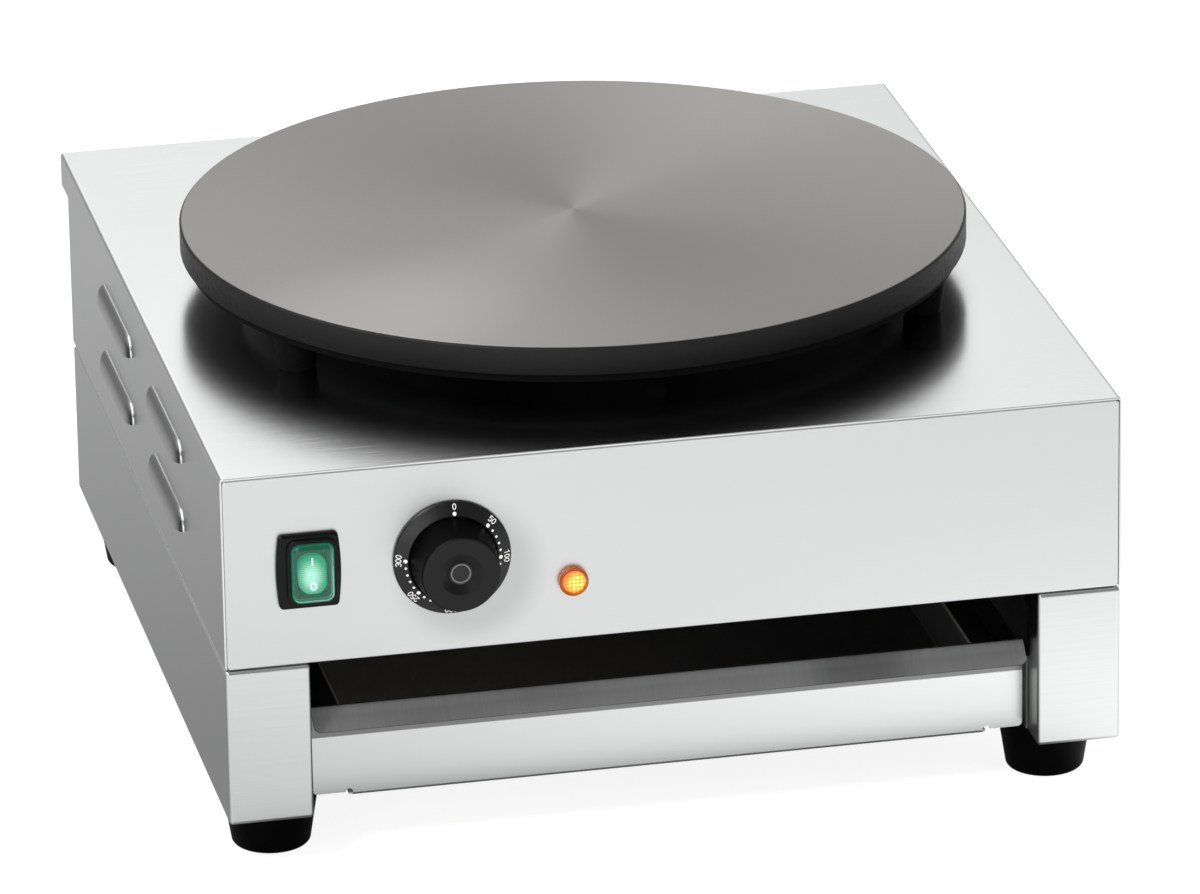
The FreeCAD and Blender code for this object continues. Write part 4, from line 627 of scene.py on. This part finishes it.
def griddle_material(finish):
    """Ground grey top with lathe marks and a painted sheen; turned, oiled cast rim;
    near-black underside and lugs, painted shade.
    """
    s = Shading("ground_griddle")
    height, from_axis = s.along(2), s.radius(PLATE_CENTRE, 2)
    face_z = PLATE_HIGH.z
    on_top = s.remap(height, face_z - 0.35 * MM, face_z - 0.05 * MM, 0.0, 1.0)
    on_rim = s.remap(height, RIM_BOTTOM_Z - 0.1 * MM, RIM_BOTTOM_Z + 0.6 * MM, 0.0, 1.0)
    off_top = s.invert(on_top)

    grain = s.noise(1500.0, 3.0, 0.65)
    clouds = s.noise(6.0, 2.0, 0.5)
    warmer = tuple(c * f for c, f in zip(finish.top_tint, (1.06, 1.02, 0.97)))
    top = s.mix(clouds, finish.top_tint, warmer)
    top = s.mix(s.grade(grain, 0.0, 0.26), top, toned(finish.top_tint, 0.66))
    # Painted sheen: the top lighter towards its edge and round a spot at its front left
    painted_sheen = s.math("MAXIMUM", s.remap(from_axis, 60 * MM, 195 * MM, 0.0, 0.45, True),
                  s.remap(s.radius(SHEEN_CENTRE, 2), 20 * MM, 120 * MM, 1.0, 0.0, True))
    top = s.mix(painted_sheen, top, toned(finish.top_tint, 1.22))
    cast_grain = s.noise(420.0, 4.0, 0.7)
    rim_light = s.remap(height, RIM_BOTTOM_Z, face_z, 0.0, 1.0, True)
    rim = s.mix(rim_light, toned(finish.rim_tint, 0.15), finish.rim_tint)
    # Painted shade: the underside and lugs near-black, with cast grain
    side = s.mix(on_rim, s.shade(finish.underside_shade_tint, cast_grain, 0.35), rim)
    s.set(Base_Color=s.mix(on_top, side, top), Metallic=s.times(on_top, 0.9))
    s.set(Specular_IOR_Level=s.remap(on_rim, 0.0, 1.0, 0.02, 0.20))

    top_rough = s.times(on_top, s.grade(grain, 0.42, 0.54))
    side_rough = s.times(off_top, s.grade(cast_grain, 0.38, 0.55))
    s.set(Roughness=s.math("ADD", top_rough, side_rough), Anisotropic=0.6, Anisotropic_Rotation=0.25)
    s.set(Tangent=s.add("ShaderNodeTangent", direction_type="RADIAL", axis="Z").outputs[0])

    wander = s.times(s.noise(30.0, 3.0, 0.5), 5.0)
    rings = s.math("SINE", s.math("ADD", s.times(from_axis, 2 * math.pi / finish.ring_pitch), wander))
    turned = s.math("SINE", s.times(height, 2 * math.pi / RIM_RING_PITCH))
    top_relief = s.times(on_top, s.math("ADD", rings, s.times(grain, 3.0)))
    side_relief = s.times(off_top, s.math("ADD", s.times(turned, 0.6), s.times(cast_grain, 9.0)))
    s.set(Normal=s.bump(s.math("ADD", top_relief, side_relief), 0.006 * MM, 0.8))
    return s.material


def heater_material():
    """Dull oxide on the heater bar."""
    s = Shading("heater_oxide")
    grain = s.noise(300.0, 4.0, 0.6)
    s.set(Base_Color=s.shade((0.10, 0.11, 0.10), grain, 0.4), Metallic=0.5)
    s.set(Roughness=s.grade(grain, 0.5, 0.7), Normal=s.bump(grain, 0.03 * MM))
    return s.material


def fibre_material(name, tint, scale):
    """Felted or woven fibre, dull and uneven."""
    s = Shading(name)
    felt = s.noise(scale, 6.0, 0.75)
    s.set(Base_Color=s.shade(tint, felt, 0.18), Roughness=0.95, Normal=s.bump(felt, 0.3 * MM))
    return s.material


class CREPE_OT_griddle(Operator):
    """Ground top, cast rim, heater bar and the parts beneath the plate"""

    bl_idname = "crepe.griddle"
    bl_label = "Finish Griddle"

    def execute(self, context):
        dress(griddle_material(context.scene.crepe_griddle), "cooking_plate")
        dress(heater_material(), "heating_element")
        dress(fibre_material("fibre_mat", (0.80, 0.78, 0.72), 500.0), "insulation_pad")
        dress(fibre_material("glass_sleeve", (0.72, 0.70, 0.62), 1600.0), "wiring")
        dress(moulded_material("ceramic_bush", (0.82, 0.80, 0.74), 0.55, 500.0, 0.02), "lead_bushes")
        copper = Shading("drawn_copper")
        tarnish = copper.noise(120.0, 3.0, 0.6)
        copper.set(Base_Color=copper.mix(tarnish, (0.72, 0.38, 0.24), (0.45, 0.23, 0.14)), Metallic=1.0)
        copper.set(Roughness=copper.grade(tarnish, 0.25, 0.42))
        dress(copper.material, "thermostat_bulb", "capillary_tube")
        return {"FINISHED"}


# Moulded parts

def moulded_material(name, tint, roughness, scale, relief, sheen=0.5):
    """Moulded plastic, rubber or ceramic with a fine skin of the given relief, in millimetres."""
    s = Shading(name)
    skin = s.noise(scale, 3.0, 0.6)
    clouds = s.noise(40.0, 2.0, 0.5)
    s.set(Base_Color=s.shade(tint, clouds, 0.12), Specular_IOR_Level=sheen)
    s.set(Roughness=s.grade(skin, roughness - 0.06, roughness + 0.06), Normal=s.bump(skin, relief * MM, 0.6))
    return s.material


class CREPE_OT_feet(Operator):
    """Black rubber on the feet and the gland's seal"""

    bl_idname = "crepe.feet"
    bl_label = "Finish Feet"

    def execute(self, context):
        rubber = moulded_material("foot_rubber", (0.0035, 0.0035, 0.0035), 0.42, 900.0, 0.02, 0.06)
        dress(rubber, "foot_front_left", "foot_front_right", "foot_rear_left", "foot_rear_right")
        dress(rubber, "gland_seal")
        return {"FINISHED"}


class CREPE_OT_fittings(Operator):
    """Cable gland, thermostat, lamp holder and terminals"""

    bl_idname = "crepe.fittings"
    bl_label = "Finish Fittings"

    def execute(self, context):
        black = moulded_material("gland_nylon", (0.02, 0.02, 0.02), 0.45, 600.0, 0.02)
        dress(black, "gland_body", "gland_cap", "gland_locknut", "lamp_body", "lamp_nut")
        dress(moulded_material("thermostat_case", (0.72, 0.69, 0.60), 0.5, 400.0, 0.02), "thermostat_body")
        dress(moulded_material("terminal_nylon", (0.80, 0.80, 0.77), 0.4, 400.0, 0.01), "terminal_block")
        brass = Shading("tinned_brass")
        grain = brass.noise(500.0, 3.0, 0.6)
        brass.set(Base_Color=brass.shade((0.70, 0.60, 0.38), grain, 0.12), Metallic=1.0)
        brass.set(Roughness=brass.grade(grain, 0.25, 0.4))
        dress(brass.material, "switch_terminals")
        return {"FINISHED"}


# Dial

SCALE_STEP_DEG = 45.0
SCALE_TURN_DEG = 2.7
SCALE_FIGURES = ("0", "50", "100", "150", "200", "250", "300")
FIGURE_ADVANCE = 0.78
SMALL_DOTS = 4
BIG_DOT_RADIUS = 0.95 * MM
SMALL_DOT_RADIUS = 0.60 * MM
PRINT_LIFT = 0.03 * MM
PRINT_THICKNESS = 0.05 * MM
# Radius and height of the skirt's face at its edge and at the grip
CONE_OUTER = (28.7 * MM, 2.1 * MM)
CONE_INNER = (22.2 * MM, 4.4 * MM)
GRIP_SHADE_RADII = (22.0 * MM, 23.0 * MM)
DISC_RING_RADII = (4.2 * MM, 5.05 * MM)


def cone_height(radius):
    """Height of the skirt's face above the panel at a distance from the dial's axis."""
    (r0, h0), (r1, h1) = CONE_OUTER, CONE_INNER
    return h0 + (h1 - h0) * (radius - r0) / (r1 - r0)


def on_skirt(angle, start_radius):
    """Places a flat drawing on the skirt: u runs clockwise round the dial and v outwards."""

    def place(point, height):
        radius = start_radius + point[1]
        turn = angle + point[0] / start_radius
        out = cone_height(radius) + PRINT_LIFT + height
        x = DIAL_CENTRE.x + radius * math.sin(turn)
        z = DIAL_CENTRE.z + radius * math.cos(turn)
        return Vector((x, PANEL_FACE - out, z))

    return place


def print_figures(bm, text, angle, style):
    """A number on the skirt, its top outwards, centred on the angle."""
    size = style.figure_height
    advance = FIGURE_ADVANCE * size
    start = -(advance * (len(text) - 1) + FIGURE_WIDTH * size) / 2
    place = on_skirt(angle, style.figure_radius)
    for k, figure in enumerate(text):
        for stroke in figure_strokes(figure):
            points = [(start + k * advance + x * size, y * size) for x, y in stroke]
            raise_strip(bm, *ribbon(points, style.stroke), place, PRINT_THICKNESS)


def scale_mesh(style):
    """Figures and dots of the whole scale."""

    def build(bm):
        for k, text in enumerate(SCALE_FIGURES):
            angle = math.radians(SCALE_STEP_DEG * k + SCALE_TURN_DEG)
            print_figures(bm, text, angle, style)
            raise_disc(bm, (0, 0), BIG_DOT_RADIUS, on_skirt(angle, style.dot_circle), PRINT_THICKNESS)
            if 0 < k < len(SCALE_FIGURES) - 1:
                for n in range(1, SMALL_DOTS + 1):
                    turn = angle + math.radians(SCALE_STEP_DEG) * n / (SMALL_DOTS + 1)
                    spot = on_skirt(turn, style.dot_circle)
                    raise_disc(bm, (0, 0), SMALL_DOT_RADIUS, spot, PRINT_THICKNESS)

    return mesh_from("dial_scale", build)


def skirt_material():
    """Satin black skirt, in deep shade round the grip."""
    s = Shading("dial_skirt_black")
    skin = s.noise(700.0, 3.0, 0.6)
    clouds = s.noise(40.0, 2.0, 0.5)
    clear = s.remap(s.radius(DIAL_CENTRE, 1), *GRIP_SHADE_RADII, 0.0, 1.0, True)
    s.set(Base_Color=s.mix(clear, (0.001, 0.001, 0.001), s.shade((0.006, 0.006, 0.006), clouds, 0.12)))
    s.set(Specular_IOR_Level=s.times(clear, 0.5))
    s.set(Roughness=s.grade(skin, 0.27, 0.37), Normal=s.bump(skin, 0.01 * MM, 0.6))
    return s.material


def knob_material():
    """Grained black grip, with painted shade making its side darker than its face."""
    s = Shading("knob_black")
    skin = s.noise(1100.0, 3.0, 0.6)
    # Painted shade: the side darker and less glossy than the face
    face = s.remap(s.facing(1), -0.97, -0.45, 1.0, 0.0, True)
    s.set(Base_Color=s.mix(face, (0.003, 0.003, 0.003), s.shade((0.013, 0.013, 0.013), skin, 0.35)))
    s.set(Specular_IOR_Level=s.remap(face, 0.0, 1.0, 0.03, 0.30))
    s.set(Roughness=s.grade(skin, 0.36, 0.50), Normal=s.bump(skin, 0.04 * MM, 0.6))
    return s.material


def knob_disc_material():
    """Black insert with a grey ring on its raised edge."""
    s = Shading("knob_insert")
    from_axis = s.radius(DIAL_CENTRE, 1)
    inner, outer = DISC_RING_RADII
    on_ring = s.remap(from_axis, inner, inner + 0.15 * MM, 0.0, 1.0)
    ring = s.times(on_ring, s.remap(from_axis, outer - 0.10 * MM, outer, 1.0, 0.0))
    skin = s.noise(900.0, 3.0, 0.6)
    s.set(Base_Color=s.mix(ring, (0.012, 0.012, 0.012), (0.42, 0.42, 0.42)))
    s.set(Roughness=s.grade(skin, 0.32, 0.44), Normal=s.bump(skin, 0.01 * MM))
    return s.material


class CREPE_OT_dial(Operator):
    """Thermostat dial: skirt, grip, insert and the printed scale"""

    bl_idname = "crepe.dial"
    bl_label = "Make Dial"

    def execute(self, context):
        style = context.scene.crepe_dial
        dress(skirt_material(), "dial_skirt")
        dress(knob_material(), "knob_hub")
        dress(knob_disc_material(), "knob_cap")
        ink = printed_material("scale_print", style.ink, 0.70)
        make_piece("dial_scale", scale_mesh(style), ink, "dial")
        return {"FINISHED"}


# Switch

KEY_TILT = math.radians(-8.0)
KEY_FACE_OUT = 6.0 * MM
KEY_DIP = 1.0 * MM
KEY_HALF_HEIGHT = 9.7 * MM
KEY_RIB_PITCH = 0.95 * MM
KEY_BULB = (KEY_PIVOT.x - 0.6 * MM, 0.0, KEY_PIVOT.z - 0.5 * MM)
# Ends the glow 8 mm to the side of the bulb and 11 mm above and below it
KEY_GLOW_SCALE = (125.0, 0.0, 92.0)
MARK_LIFT = 0.05 * MM
MARK_THICKNESS = 0.06 * MM


def on_key(point, height):
    """Places a flat drawing on the key's hollow face, which stands in front of the pivot: u to the
    right, v up."""
    hollow = KEY_DIP * (1.0 - (point[1] / KEY_HALF_HEIGHT) ** 2)
    front = -KEY_FACE_OUT + hollow - MARK_LIFT - height
    return KEY_PIVOT + Matrix.Rotation(KEY_TILT, 3, "X") @ Vector((point[0], front, point[1]))


def key_marks_mesh():
    """A bar above and a ring below, the usual marks for on and off."""

    def build(bm):
        bar = [(0.0, v * MM) for v in (4.6, 5.7, 6.8, 7.9)]
        ring = arc(0.0, -6.0 * MM, 1.45 * MM, 1.55 * MM, 0, 360, 36)
        for points, width in ((bar, 0.6 * MM), (ring, 0.7 * MM)):
            raise_strip(bm, *ribbon(points, width), on_key, MARK_THICKNESS)

    return mesh_from("key_marks", build)


def lit_key_material(lights):
    """Ribbed green key, palest over its bulb."""
    s = Shading("lit_key")
    from_bulb = s.vector_math("LENGTH", s.scaled(KEY_GLOW_SCALE, KEY_BULB))
    core = s.remap(from_bulb, 0.0, 1.0, 1.0, 0.0, True)
    ribs = s.math("SINE", s.times(s.along(2), 2 * math.pi / KEY_RIB_PITCH))
    patchy = s.noise(1.0, 3.0, 0.6, s.scaled((500.0, 500.0, 1300.0)))
    glow = s.times(core, s.remap(s.math("ADD", ribs, patchy), -0.8, 1.6, 0.45, 1.15))
    tint = s.mix(glow, lights.key_edge, lights.key_core)
    s.set(Base_Color=tint, Emission_Color=tint, Emission_Strength=0.50, Specular_IOR_Level=0.2)
    s.set(Roughness=s.grade(patchy, 0.25, 0.4), Normal=s.bump(ribs, 0.02 * MM, 0.5))
    return s.material


def clear_cap_material():
    """Clear soft cover, tinted by the light of the key inside."""
    s = Shading("clear_cap")
    skin = s.noise(300.0, 2.0, 0.5)
    s.set(Base_Color=s.shade((0.78, 0.98, 0.91), skin, 0.02), Transmission_Weight=1.0, IOR=1.38)
    s.set(Emission_Color=(0.0, 0.30, 0.17), Emission_Strength=0.13)
    s.set(Roughness=s.grade(skin, 0.0, 0.02), Normal=s.bump(skin, 0.02 * MM, 0.3))
    return s.material


def printed_material(name, tint, glow):
    """White print with a painted glow, so that it stays clear in the shade."""
    s = Shading(name)
    grain = s.noise(1500.0, 2.0, 0.5)
    pale = s.shade(tint, grain, 0.04)
    s.set(Base_Color=pale, Emission_Color=pale, Emission_Strength=glow, Roughness=0.5)
    return s.material


class CREPE_OT_switch(Operator):
    """Rocker switch: frame, clear cap, lit key and its marks"""

    bl_idname = "crepe.switch"
    bl_label = "Make Switch"

    def execute(self, context):
        lights = context.scene.crepe_lights
        black = moulded_material("switch_black", (0.004, 0.004, 0.004), 0.36, 800.0, 0.015, 0.22)
        dress(black, "switch_frame")
        dress(lit_key_material(lights), "switch_rocker")
        dress(clear_cap_material(), "switch_cap")
        white = printed_material("key_print", (0.96, 1.0, 0.98), 0.9)
        make_piece("key_marks", key_marks_mesh(), white, "key")
        return {"FINISHED"}


# Pilot lamp

COLLAR_WIDTH = 1.7 * MM
COLLAR_ROUNDING = 1.2 * MM
COLLAR_STEPS = 72
FACET_PITCH = 2.0 * MM
FACET_RISE = 0.38 * MM
FACET_FLOOR = 2.3 * MM
FACET_FOOT = 0.2 * MM
FACET_OVERLAP = 0.1 * MM
LENS_BULB = LENS_CENTRE + Vector((0.18, 0.0, -0.12)) * LENS_RADIUS
LENS_ORANGE = (0.80, 0.24, 0.01)


def lens_collar_mesh():
    """Rounded ring round the lens."""
    shoulder = LENS_HIGH.y - LENS_LOW.y - COLLAR_ROUNDING
    half = COLLAR_WIDTH / 2
    section = [(LENS_RADIUS - COLLAR_WIDTH, 0.0), (LENS_RADIUS, 0.0), (LENS_RADIUS, shoulder)]
    section += arc(LENS_RADIUS - half, shoulder, half, COLLAR_ROUNDING, 0, 180, 12)[1:]

    def build(bm):
        rings = []
        for k in range(COLLAR_STEPS):
            turn = 2 * math.pi * k / COLLAR_STEPS
            ring = []
            for radius, height in section:
                x = LENS_CENTRE.x + radius * math.sin(turn)
                z = LENS_CENTRE.z + radius * math.cos(turn)
                ring.append(bm.verts.new((x, PANEL_FACE - height, z)))
            rings.append(ring)
        for one, two in zip(rings, rings[1:] + rings[:1]):
            for k in range(len(section)):
                n = (k + 1) % len(section)
                bm.faces.new((one[k], one[n], two[n], two[k]))

    return mesh_from("lens_collar", build)


def lens_facets_mesh():
    """Small pyramids in rows, cut off at the collar, on a closed disc."""
    limit = LENS_RADIUS - COLLAR_WIDTH + FACET_OVERLAP
    half = FACET_PITCH / 2
    count = int(limit / half) + 1

    def height_at(i, j):
        return FACET_FLOOR + (FACET_RISE if i % 2 == 0 and j % 2 == 0 else 0.0)

    def build(bm):
        points = {}
        for i in range(-count, count + 1):
            for j in range(-count, count + 1):
                x, z = i * half, j * half
                reach = math.hypot(x, z)
                shrink = min(1.0, limit / reach) if reach else 1.0
                lift = height_at(i, j) if shrink == 1.0 else FACET_FLOOR
                spot = (LENS_CENTRE.x + x * shrink, PANEL_FACE - lift, LENS_CENTRE.z + z * shrink)
                points[i, j] = (bm.verts.new(spot), reach - half)
        for i in range(-count, count):
            for j in range(-count, count):
                corners = [points[i, j], points[i + 1, j], points[i + 1, j + 1], points[i, j + 1]]
                if min(reach for _, reach in corners) > limit:
                    continue
                verts = [v for v, _ in corners]
                odd = (i + j) % 2
                for face in ((0, 1, 2), (0, 2, 3)) if odd else ((0, 1, 3), (1, 2, 3)):
                    three = [verts[k] for k in face]
                    if len({tuple(round(c, 7) for c in v.co) for v in three}) == 3:
                        bm.faces.new(three)
        loose = [v for v in bm.verts if not v.link_faces]
        bmesh.ops.delete(bm, geom=loose, context="VERTS")
        bmesh.ops.remove_doubles(bm, verts=bm.verts, dist=1e-7)
        rim = [e for e in bm.edges if e.is_boundary]
        for made in bmesh.ops.extrude_edge_only(bm, edges=rim)["geom"]:
            if isinstance(made, bmesh.types.BMVert):
                made.co.y = PANEL_FACE - FACET_FOOT
        bmesh.ops.contextual_create(bm, geom=[e for e in bm.edges if e.is_boundary])

    return mesh_from("lens_facets", build)


def amber_material(name, lights, strength):
    """Lit amber plastic: a yellow spot in each facet, brightest low on the right over the bulb, in an
    orange that turns red at the collar."""
    s = Shading(name)
    sparkle = s.noise(500.0, 2.0, 0.5)
    core = s.remap(s.radius(LENS_BULB, 1), 0.25 * LENS_RADIUS, 0.95 * LENS_RADIUS, 1.0, 0.0, True)
    centred = s.scaled((1.0, 1.0, 1.0), LENS_CENTRE)

    def humps(index):
        return s.apart(s.math("COSINE", s.times(s.axis(centred, index), math.pi / FACET_PITCH)))

    facets = s.times(s.times(humps(0), humps(2)), s.remap(sparkle, 0.35, 0.65, 0.6, 1.3))
    spots = s.remap(facets, 0.20, 0.75, 0.10, 1.0)
    tint = s.mix(s.times(core, spots), s.mix(core, lights.lens_edge, LENS_ORANGE), lights.lens_core)
    s.set(Base_Color=lights.lens_edge, Emission_Color=tint, Emission_Strength=strength)
    s.set(Roughness=s.grade(sparkle, 0.08, 0.18), Specular_IOR_Level=0.3, Coat_Weight=0.3)
    return s.material


class CREPE_OT_pilot_lamp(Operator):
    """Pilot lamp: collar and faceted lens in place of the plain one"""

    bl_idname = "crepe.pilot_lamp"
    bl_label = "Make Pilot Lamp"

    def execute(self, context):
        lights = context.scene.crepe_lights
        ring = amber_material("lens_collar", lights, 0.35)
        collar = make_piece("lens_collar", lens_collar_mesh(), ring, "chassis")
        glass = amber_material("lens_facets", lights, 1.8)
        facets = make_piece("lens_facets", lens_facets_mesh(), glass, "chassis")
        collar.data.polygons.foreach_set("use_smooth", [True] * len(collar.data.polygons))
        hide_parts("lamp_lens")
        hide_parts("lamp_lens")
        return {"FINISHED"}


# Studio

CAMERA_PLACE = (-0.8949, -4.3329, 1.8461)
CAMERA_YAW = math.radians(-11.812)
CAMERA_PITCH = math.radians(21.340)
CAMERA_ROLL = math.radians(-0.893)
BACK_LAMP_PLACE = (0.2, 2.4, 2.2)
FRONT_LAMP_PLACE = (-1.5, -1.6, 2.3)
# Bright patches: the direction of each, the cosines at which it starts and is full, and its strength
PATCHES = {(-0.55, 0.05, 0.83): (0.80, 0.97, 3.0), (-0.36, -0.92, 0.14): (0.93, 0.99, 2.6)}


def place_camera(focal_length):
    """Camera at the photo's angle."""
    data = bpy.data.cameras.new("photo_camera")
    data.lens = focal_length
    data.sensor_width = SENSOR_WIDTH
    data.clip_end = 50.0
    camera = add_object("photo_camera", data)
    ahead = Vector((
        -math.sin(CAMERA_YAW) * math.cos(CAMERA_PITCH),
        math.cos(CAMERA_YAW) * math.cos(CAMERA_PITCH),
        -math.sin(CAMERA_PITCH),
    ))
    right = ahead.cross(Vector((0, 0, 1))).normalized()
    up = right.cross(ahead)
    rolled_right = math.cos(CAMERA_ROLL) * right + math.sin(CAMERA_ROLL) * up
    rolled_up = -math.sin(CAMERA_ROLL) * right + math.cos(CAMERA_ROLL) * up
    turn = Matrix((rolled_right, rolled_up, -ahead)).transposed().to_4x4()
    camera.matrix_world = Matrix.Translation(CAMERA_PLACE) @ turn
    bpy.context.scene.camera = camera


def floor_glow(s):
    """How bright metal sees the floor: even in front, brighter close in on the right, dim beside the
    machine on the left, and dark under it."""
    x, y = s.along(0), s.along(1)
    close = s.remap(x, -0.22, 0.26, 0.78, 1.32)
    ahead = s.remap(x, -0.25, 0.35, 1.12, 0.95)
    front = s.blend(s.remap(y, -0.50, -0.44, 0.0, 1.0, True), ahead, close)
    left = s.remap(y, -0.05, 0.65, 0.28, 0.46)
    beside = s.blend(s.remap(x, -0.10, 0.10, 0.0, 1.0, True), left, 0.85)
    around = s.blend(s.remap(y, -0.30, -0.20, 0.0, 1.0, True), front, beside)
    inside_x = s.remap(s.apart(x), 0.19, 0.24, 1.0, 0.0, True)
    inside_y = s.remap(s.apart(y), 0.27, 0.295, 1.0, 0.0, True)
    return s.blend(s.times(inside_x, inside_y), around, 0.12)


def deep_shade(s):
    """1 on the floor well below the machine, which only an open drawer bay shows, and 0 round it."""
    x, y = s.along(0), s.along(1)
    across = s.remap(s.apart(x), 0.15, 0.19, 1.0, 0.0, True)
    ahead = s.remap(y, -0.13, -0.06, 0.0, 1.0, True)
    behind = s.remap(y, 0.19, 0.22, 1.0, 0.0, True)
    return s.times(across, s.times(ahead, behind))


def lay_floor(size):
    """Pale floor: the camera sees it white but for the shadow, and metal sees its glow."""
    bm = bmesh.new()
    bmesh.ops.create_grid(bm, x_segments=1, y_segments=1, size=size / 2)
    mesh = bpy.data.meshes.new("floor")
    bm.to_mesh(mesh)
    bm.free()
    floor = add_object("floor", mesh)
    s = Shading("floor_paper")
    s.set(Base_Color=(0.62, 0.62, 0.62), Roughness=0.9, Specular_IOR_Level=0.0)
    path = s.add("ShaderNodeLightPath")
    white = s.mix(deep_shade(s), (0.87, 0.87, 0.87), (0.07, 0.07, 0.07))
    seen = s.add("ShaderNodeEmission")
    s.feed(seen.inputs["Color"], white)
    both = s.add("ShaderNodeAddShader")
    s.feed(both.inputs[0], s.shader.outputs[0])
    s.feed(both.inputs[1], seen.outputs[0])
    glowing = s.add("ShaderNodeEmission")
    s.feed(glowing.inputs["Strength"], floor_glow(s))
    plain = s.choose(path.outputs["Is Camera Ray"], s.shader.outputs[0], both.outputs[0])
    s.feed(s.output.inputs["Surface"], s.choose(s.mirror_rays(path), plain, glowing.outputs[0]))
    mesh.materials.append(s.material)


def light_world(ambient):
    """White for the camera, a low even light, and for metal a bright wall and patches in a dim studio."""
    world = bpy.data.worlds.new("studio")
    bpy.context.scene.world = world
    world.use_nodes = True
    w = Nodes(world.node_tree)

    def background(strength):
        node = w.add("ShaderNodeBackground")
        w.feed(node.inputs["Strength"], strength)
        return node.outputs[0]

    path = w.add("ShaderNodeLightPath")
    direction = w.add("ShaderNodeTexCoord").outputs["Generated"]
    x, y = w.axis(direction, 0), w.axis(direction, 1)
    across = w.times(w.remap(x, -0.35, 0.0, 0.40, 1.14, True), w.remap(x, 0.06, 0.42, 1.0, 0.56, True))
    wall = w.times(w.remap(y, -0.1, 0.6, 0.0, 1.0, True), across)
    level = w.math("ADD", wall, w.remap(y, -0.1, 0.6, 0.28, 0.0, True))
    for middle, (start, full, strength) in PATCHES.items():
        nearness = w.vector_math("DOT_PRODUCT", direction, middle)
        level = w.math("ADD", level, w.remap(nearness, start, full, 0.0, strength, True))
    unseen = w.choose(w.mirror_rays(path), background(ambient), background(level))
    output = w.add("ShaderNodeOutputWorld")
    w.feed(output.inputs["Surface"], w.choose(path.outputs["Is Camera Ray"], unseen, background(1.0)))


def add_lamp(name, place, aim, size, power):
    """A square soft box aimed at a point."""
    data = bpy.data.lights.new(name, "AREA")
    data.shape = "SQUARE"
    data.size = size
    data.energy = power
    lamp = add_object(name, data)
    lamp.location = place
    lamp.rotation_euler = (Vector(aim) - Vector(place)).to_track_quat("-Z", "Y").to_euler()


class CREPE_OT_stage(Operator):
    """Floor, soft lamps, even surroundings and the camera"""

    bl_idname = "crepe.stage"
    bl_label = "Set Stage"

    def execute(self, context):
        studio = context.scene.crepe_studio
        lay_floor(studio.floor_size)
        light_world(studio.ambient)
        add_lamp("back_softbox", BACK_LAMP_PLACE, (0, 0, 0.2), 2.2, studio.back_lamp)
        add_lamp("front_softbox", FRONT_LAMP_PLACE, (0, 0, 0.15), 0.5, studio.front_lamp)
        place_camera(studio.focal_length)
        context.scene.view_settings.view_transform = "Standard"
        return {"FINISHED"}


class CREPE_PT_finish(Panel):
    """Sidebar panel that lists the steps"""

    bl_label = "Crepe Maker"
    bl_idname = "CREPE_PT_finish"
    bl_space_type = "VIEW_3D"
    bl_region_type = "UI"
    bl_category = "Crepe Maker"

    def draw(self, context):
        for step in STEPS:
            self.layout.operator(step.bl_idname)
        for name in GROUPS:
            group = getattr(context.scene, name)
            box = self.layout.box()
            for key in group.__annotations__:
                box.prop(group, key)


STEPS = (
    CREPE_OT_stage,
    CREPE_OT_sheet_steel,
    CREPE_OT_griddle,
    CREPE_OT_feet,
    CREPE_OT_fittings,
    CREPE_OT_dial,
    CREPE_OT_switch,
    CREPE_OT_pilot_lamp,
)
GROUPS = {
    "crepe_steel": SteelFinish,
    "crepe_griddle": GriddleFinish,
    "crepe_dial": DialPrint,
    "crepe_lights": LightedParts,
    "crepe_studio": Studio,
}
CLASSES = (*GROUPS.values(), *STEPS, CREPE_PT_finish)


def register():
    for cls in CLASSES:
        bpy.utils.register_class(cls)
    for name, cls in GROUPS.items():
        setattr(bpy.types.Scene, name, PointerProperty(type=cls))


def unregister():
    for name in GROUPS:
        delattr(bpy.types.Scene, name)
    for cls in reversed(CLASSES):
        bpy.utils.unregister_class(cls)


def main():
    register()
    for step in STEPS:
        space, name = step.bl_idname.split(".")
        getattr(getattr(bpy.ops, space), name)()


if __name__ == "__main__":
    main()
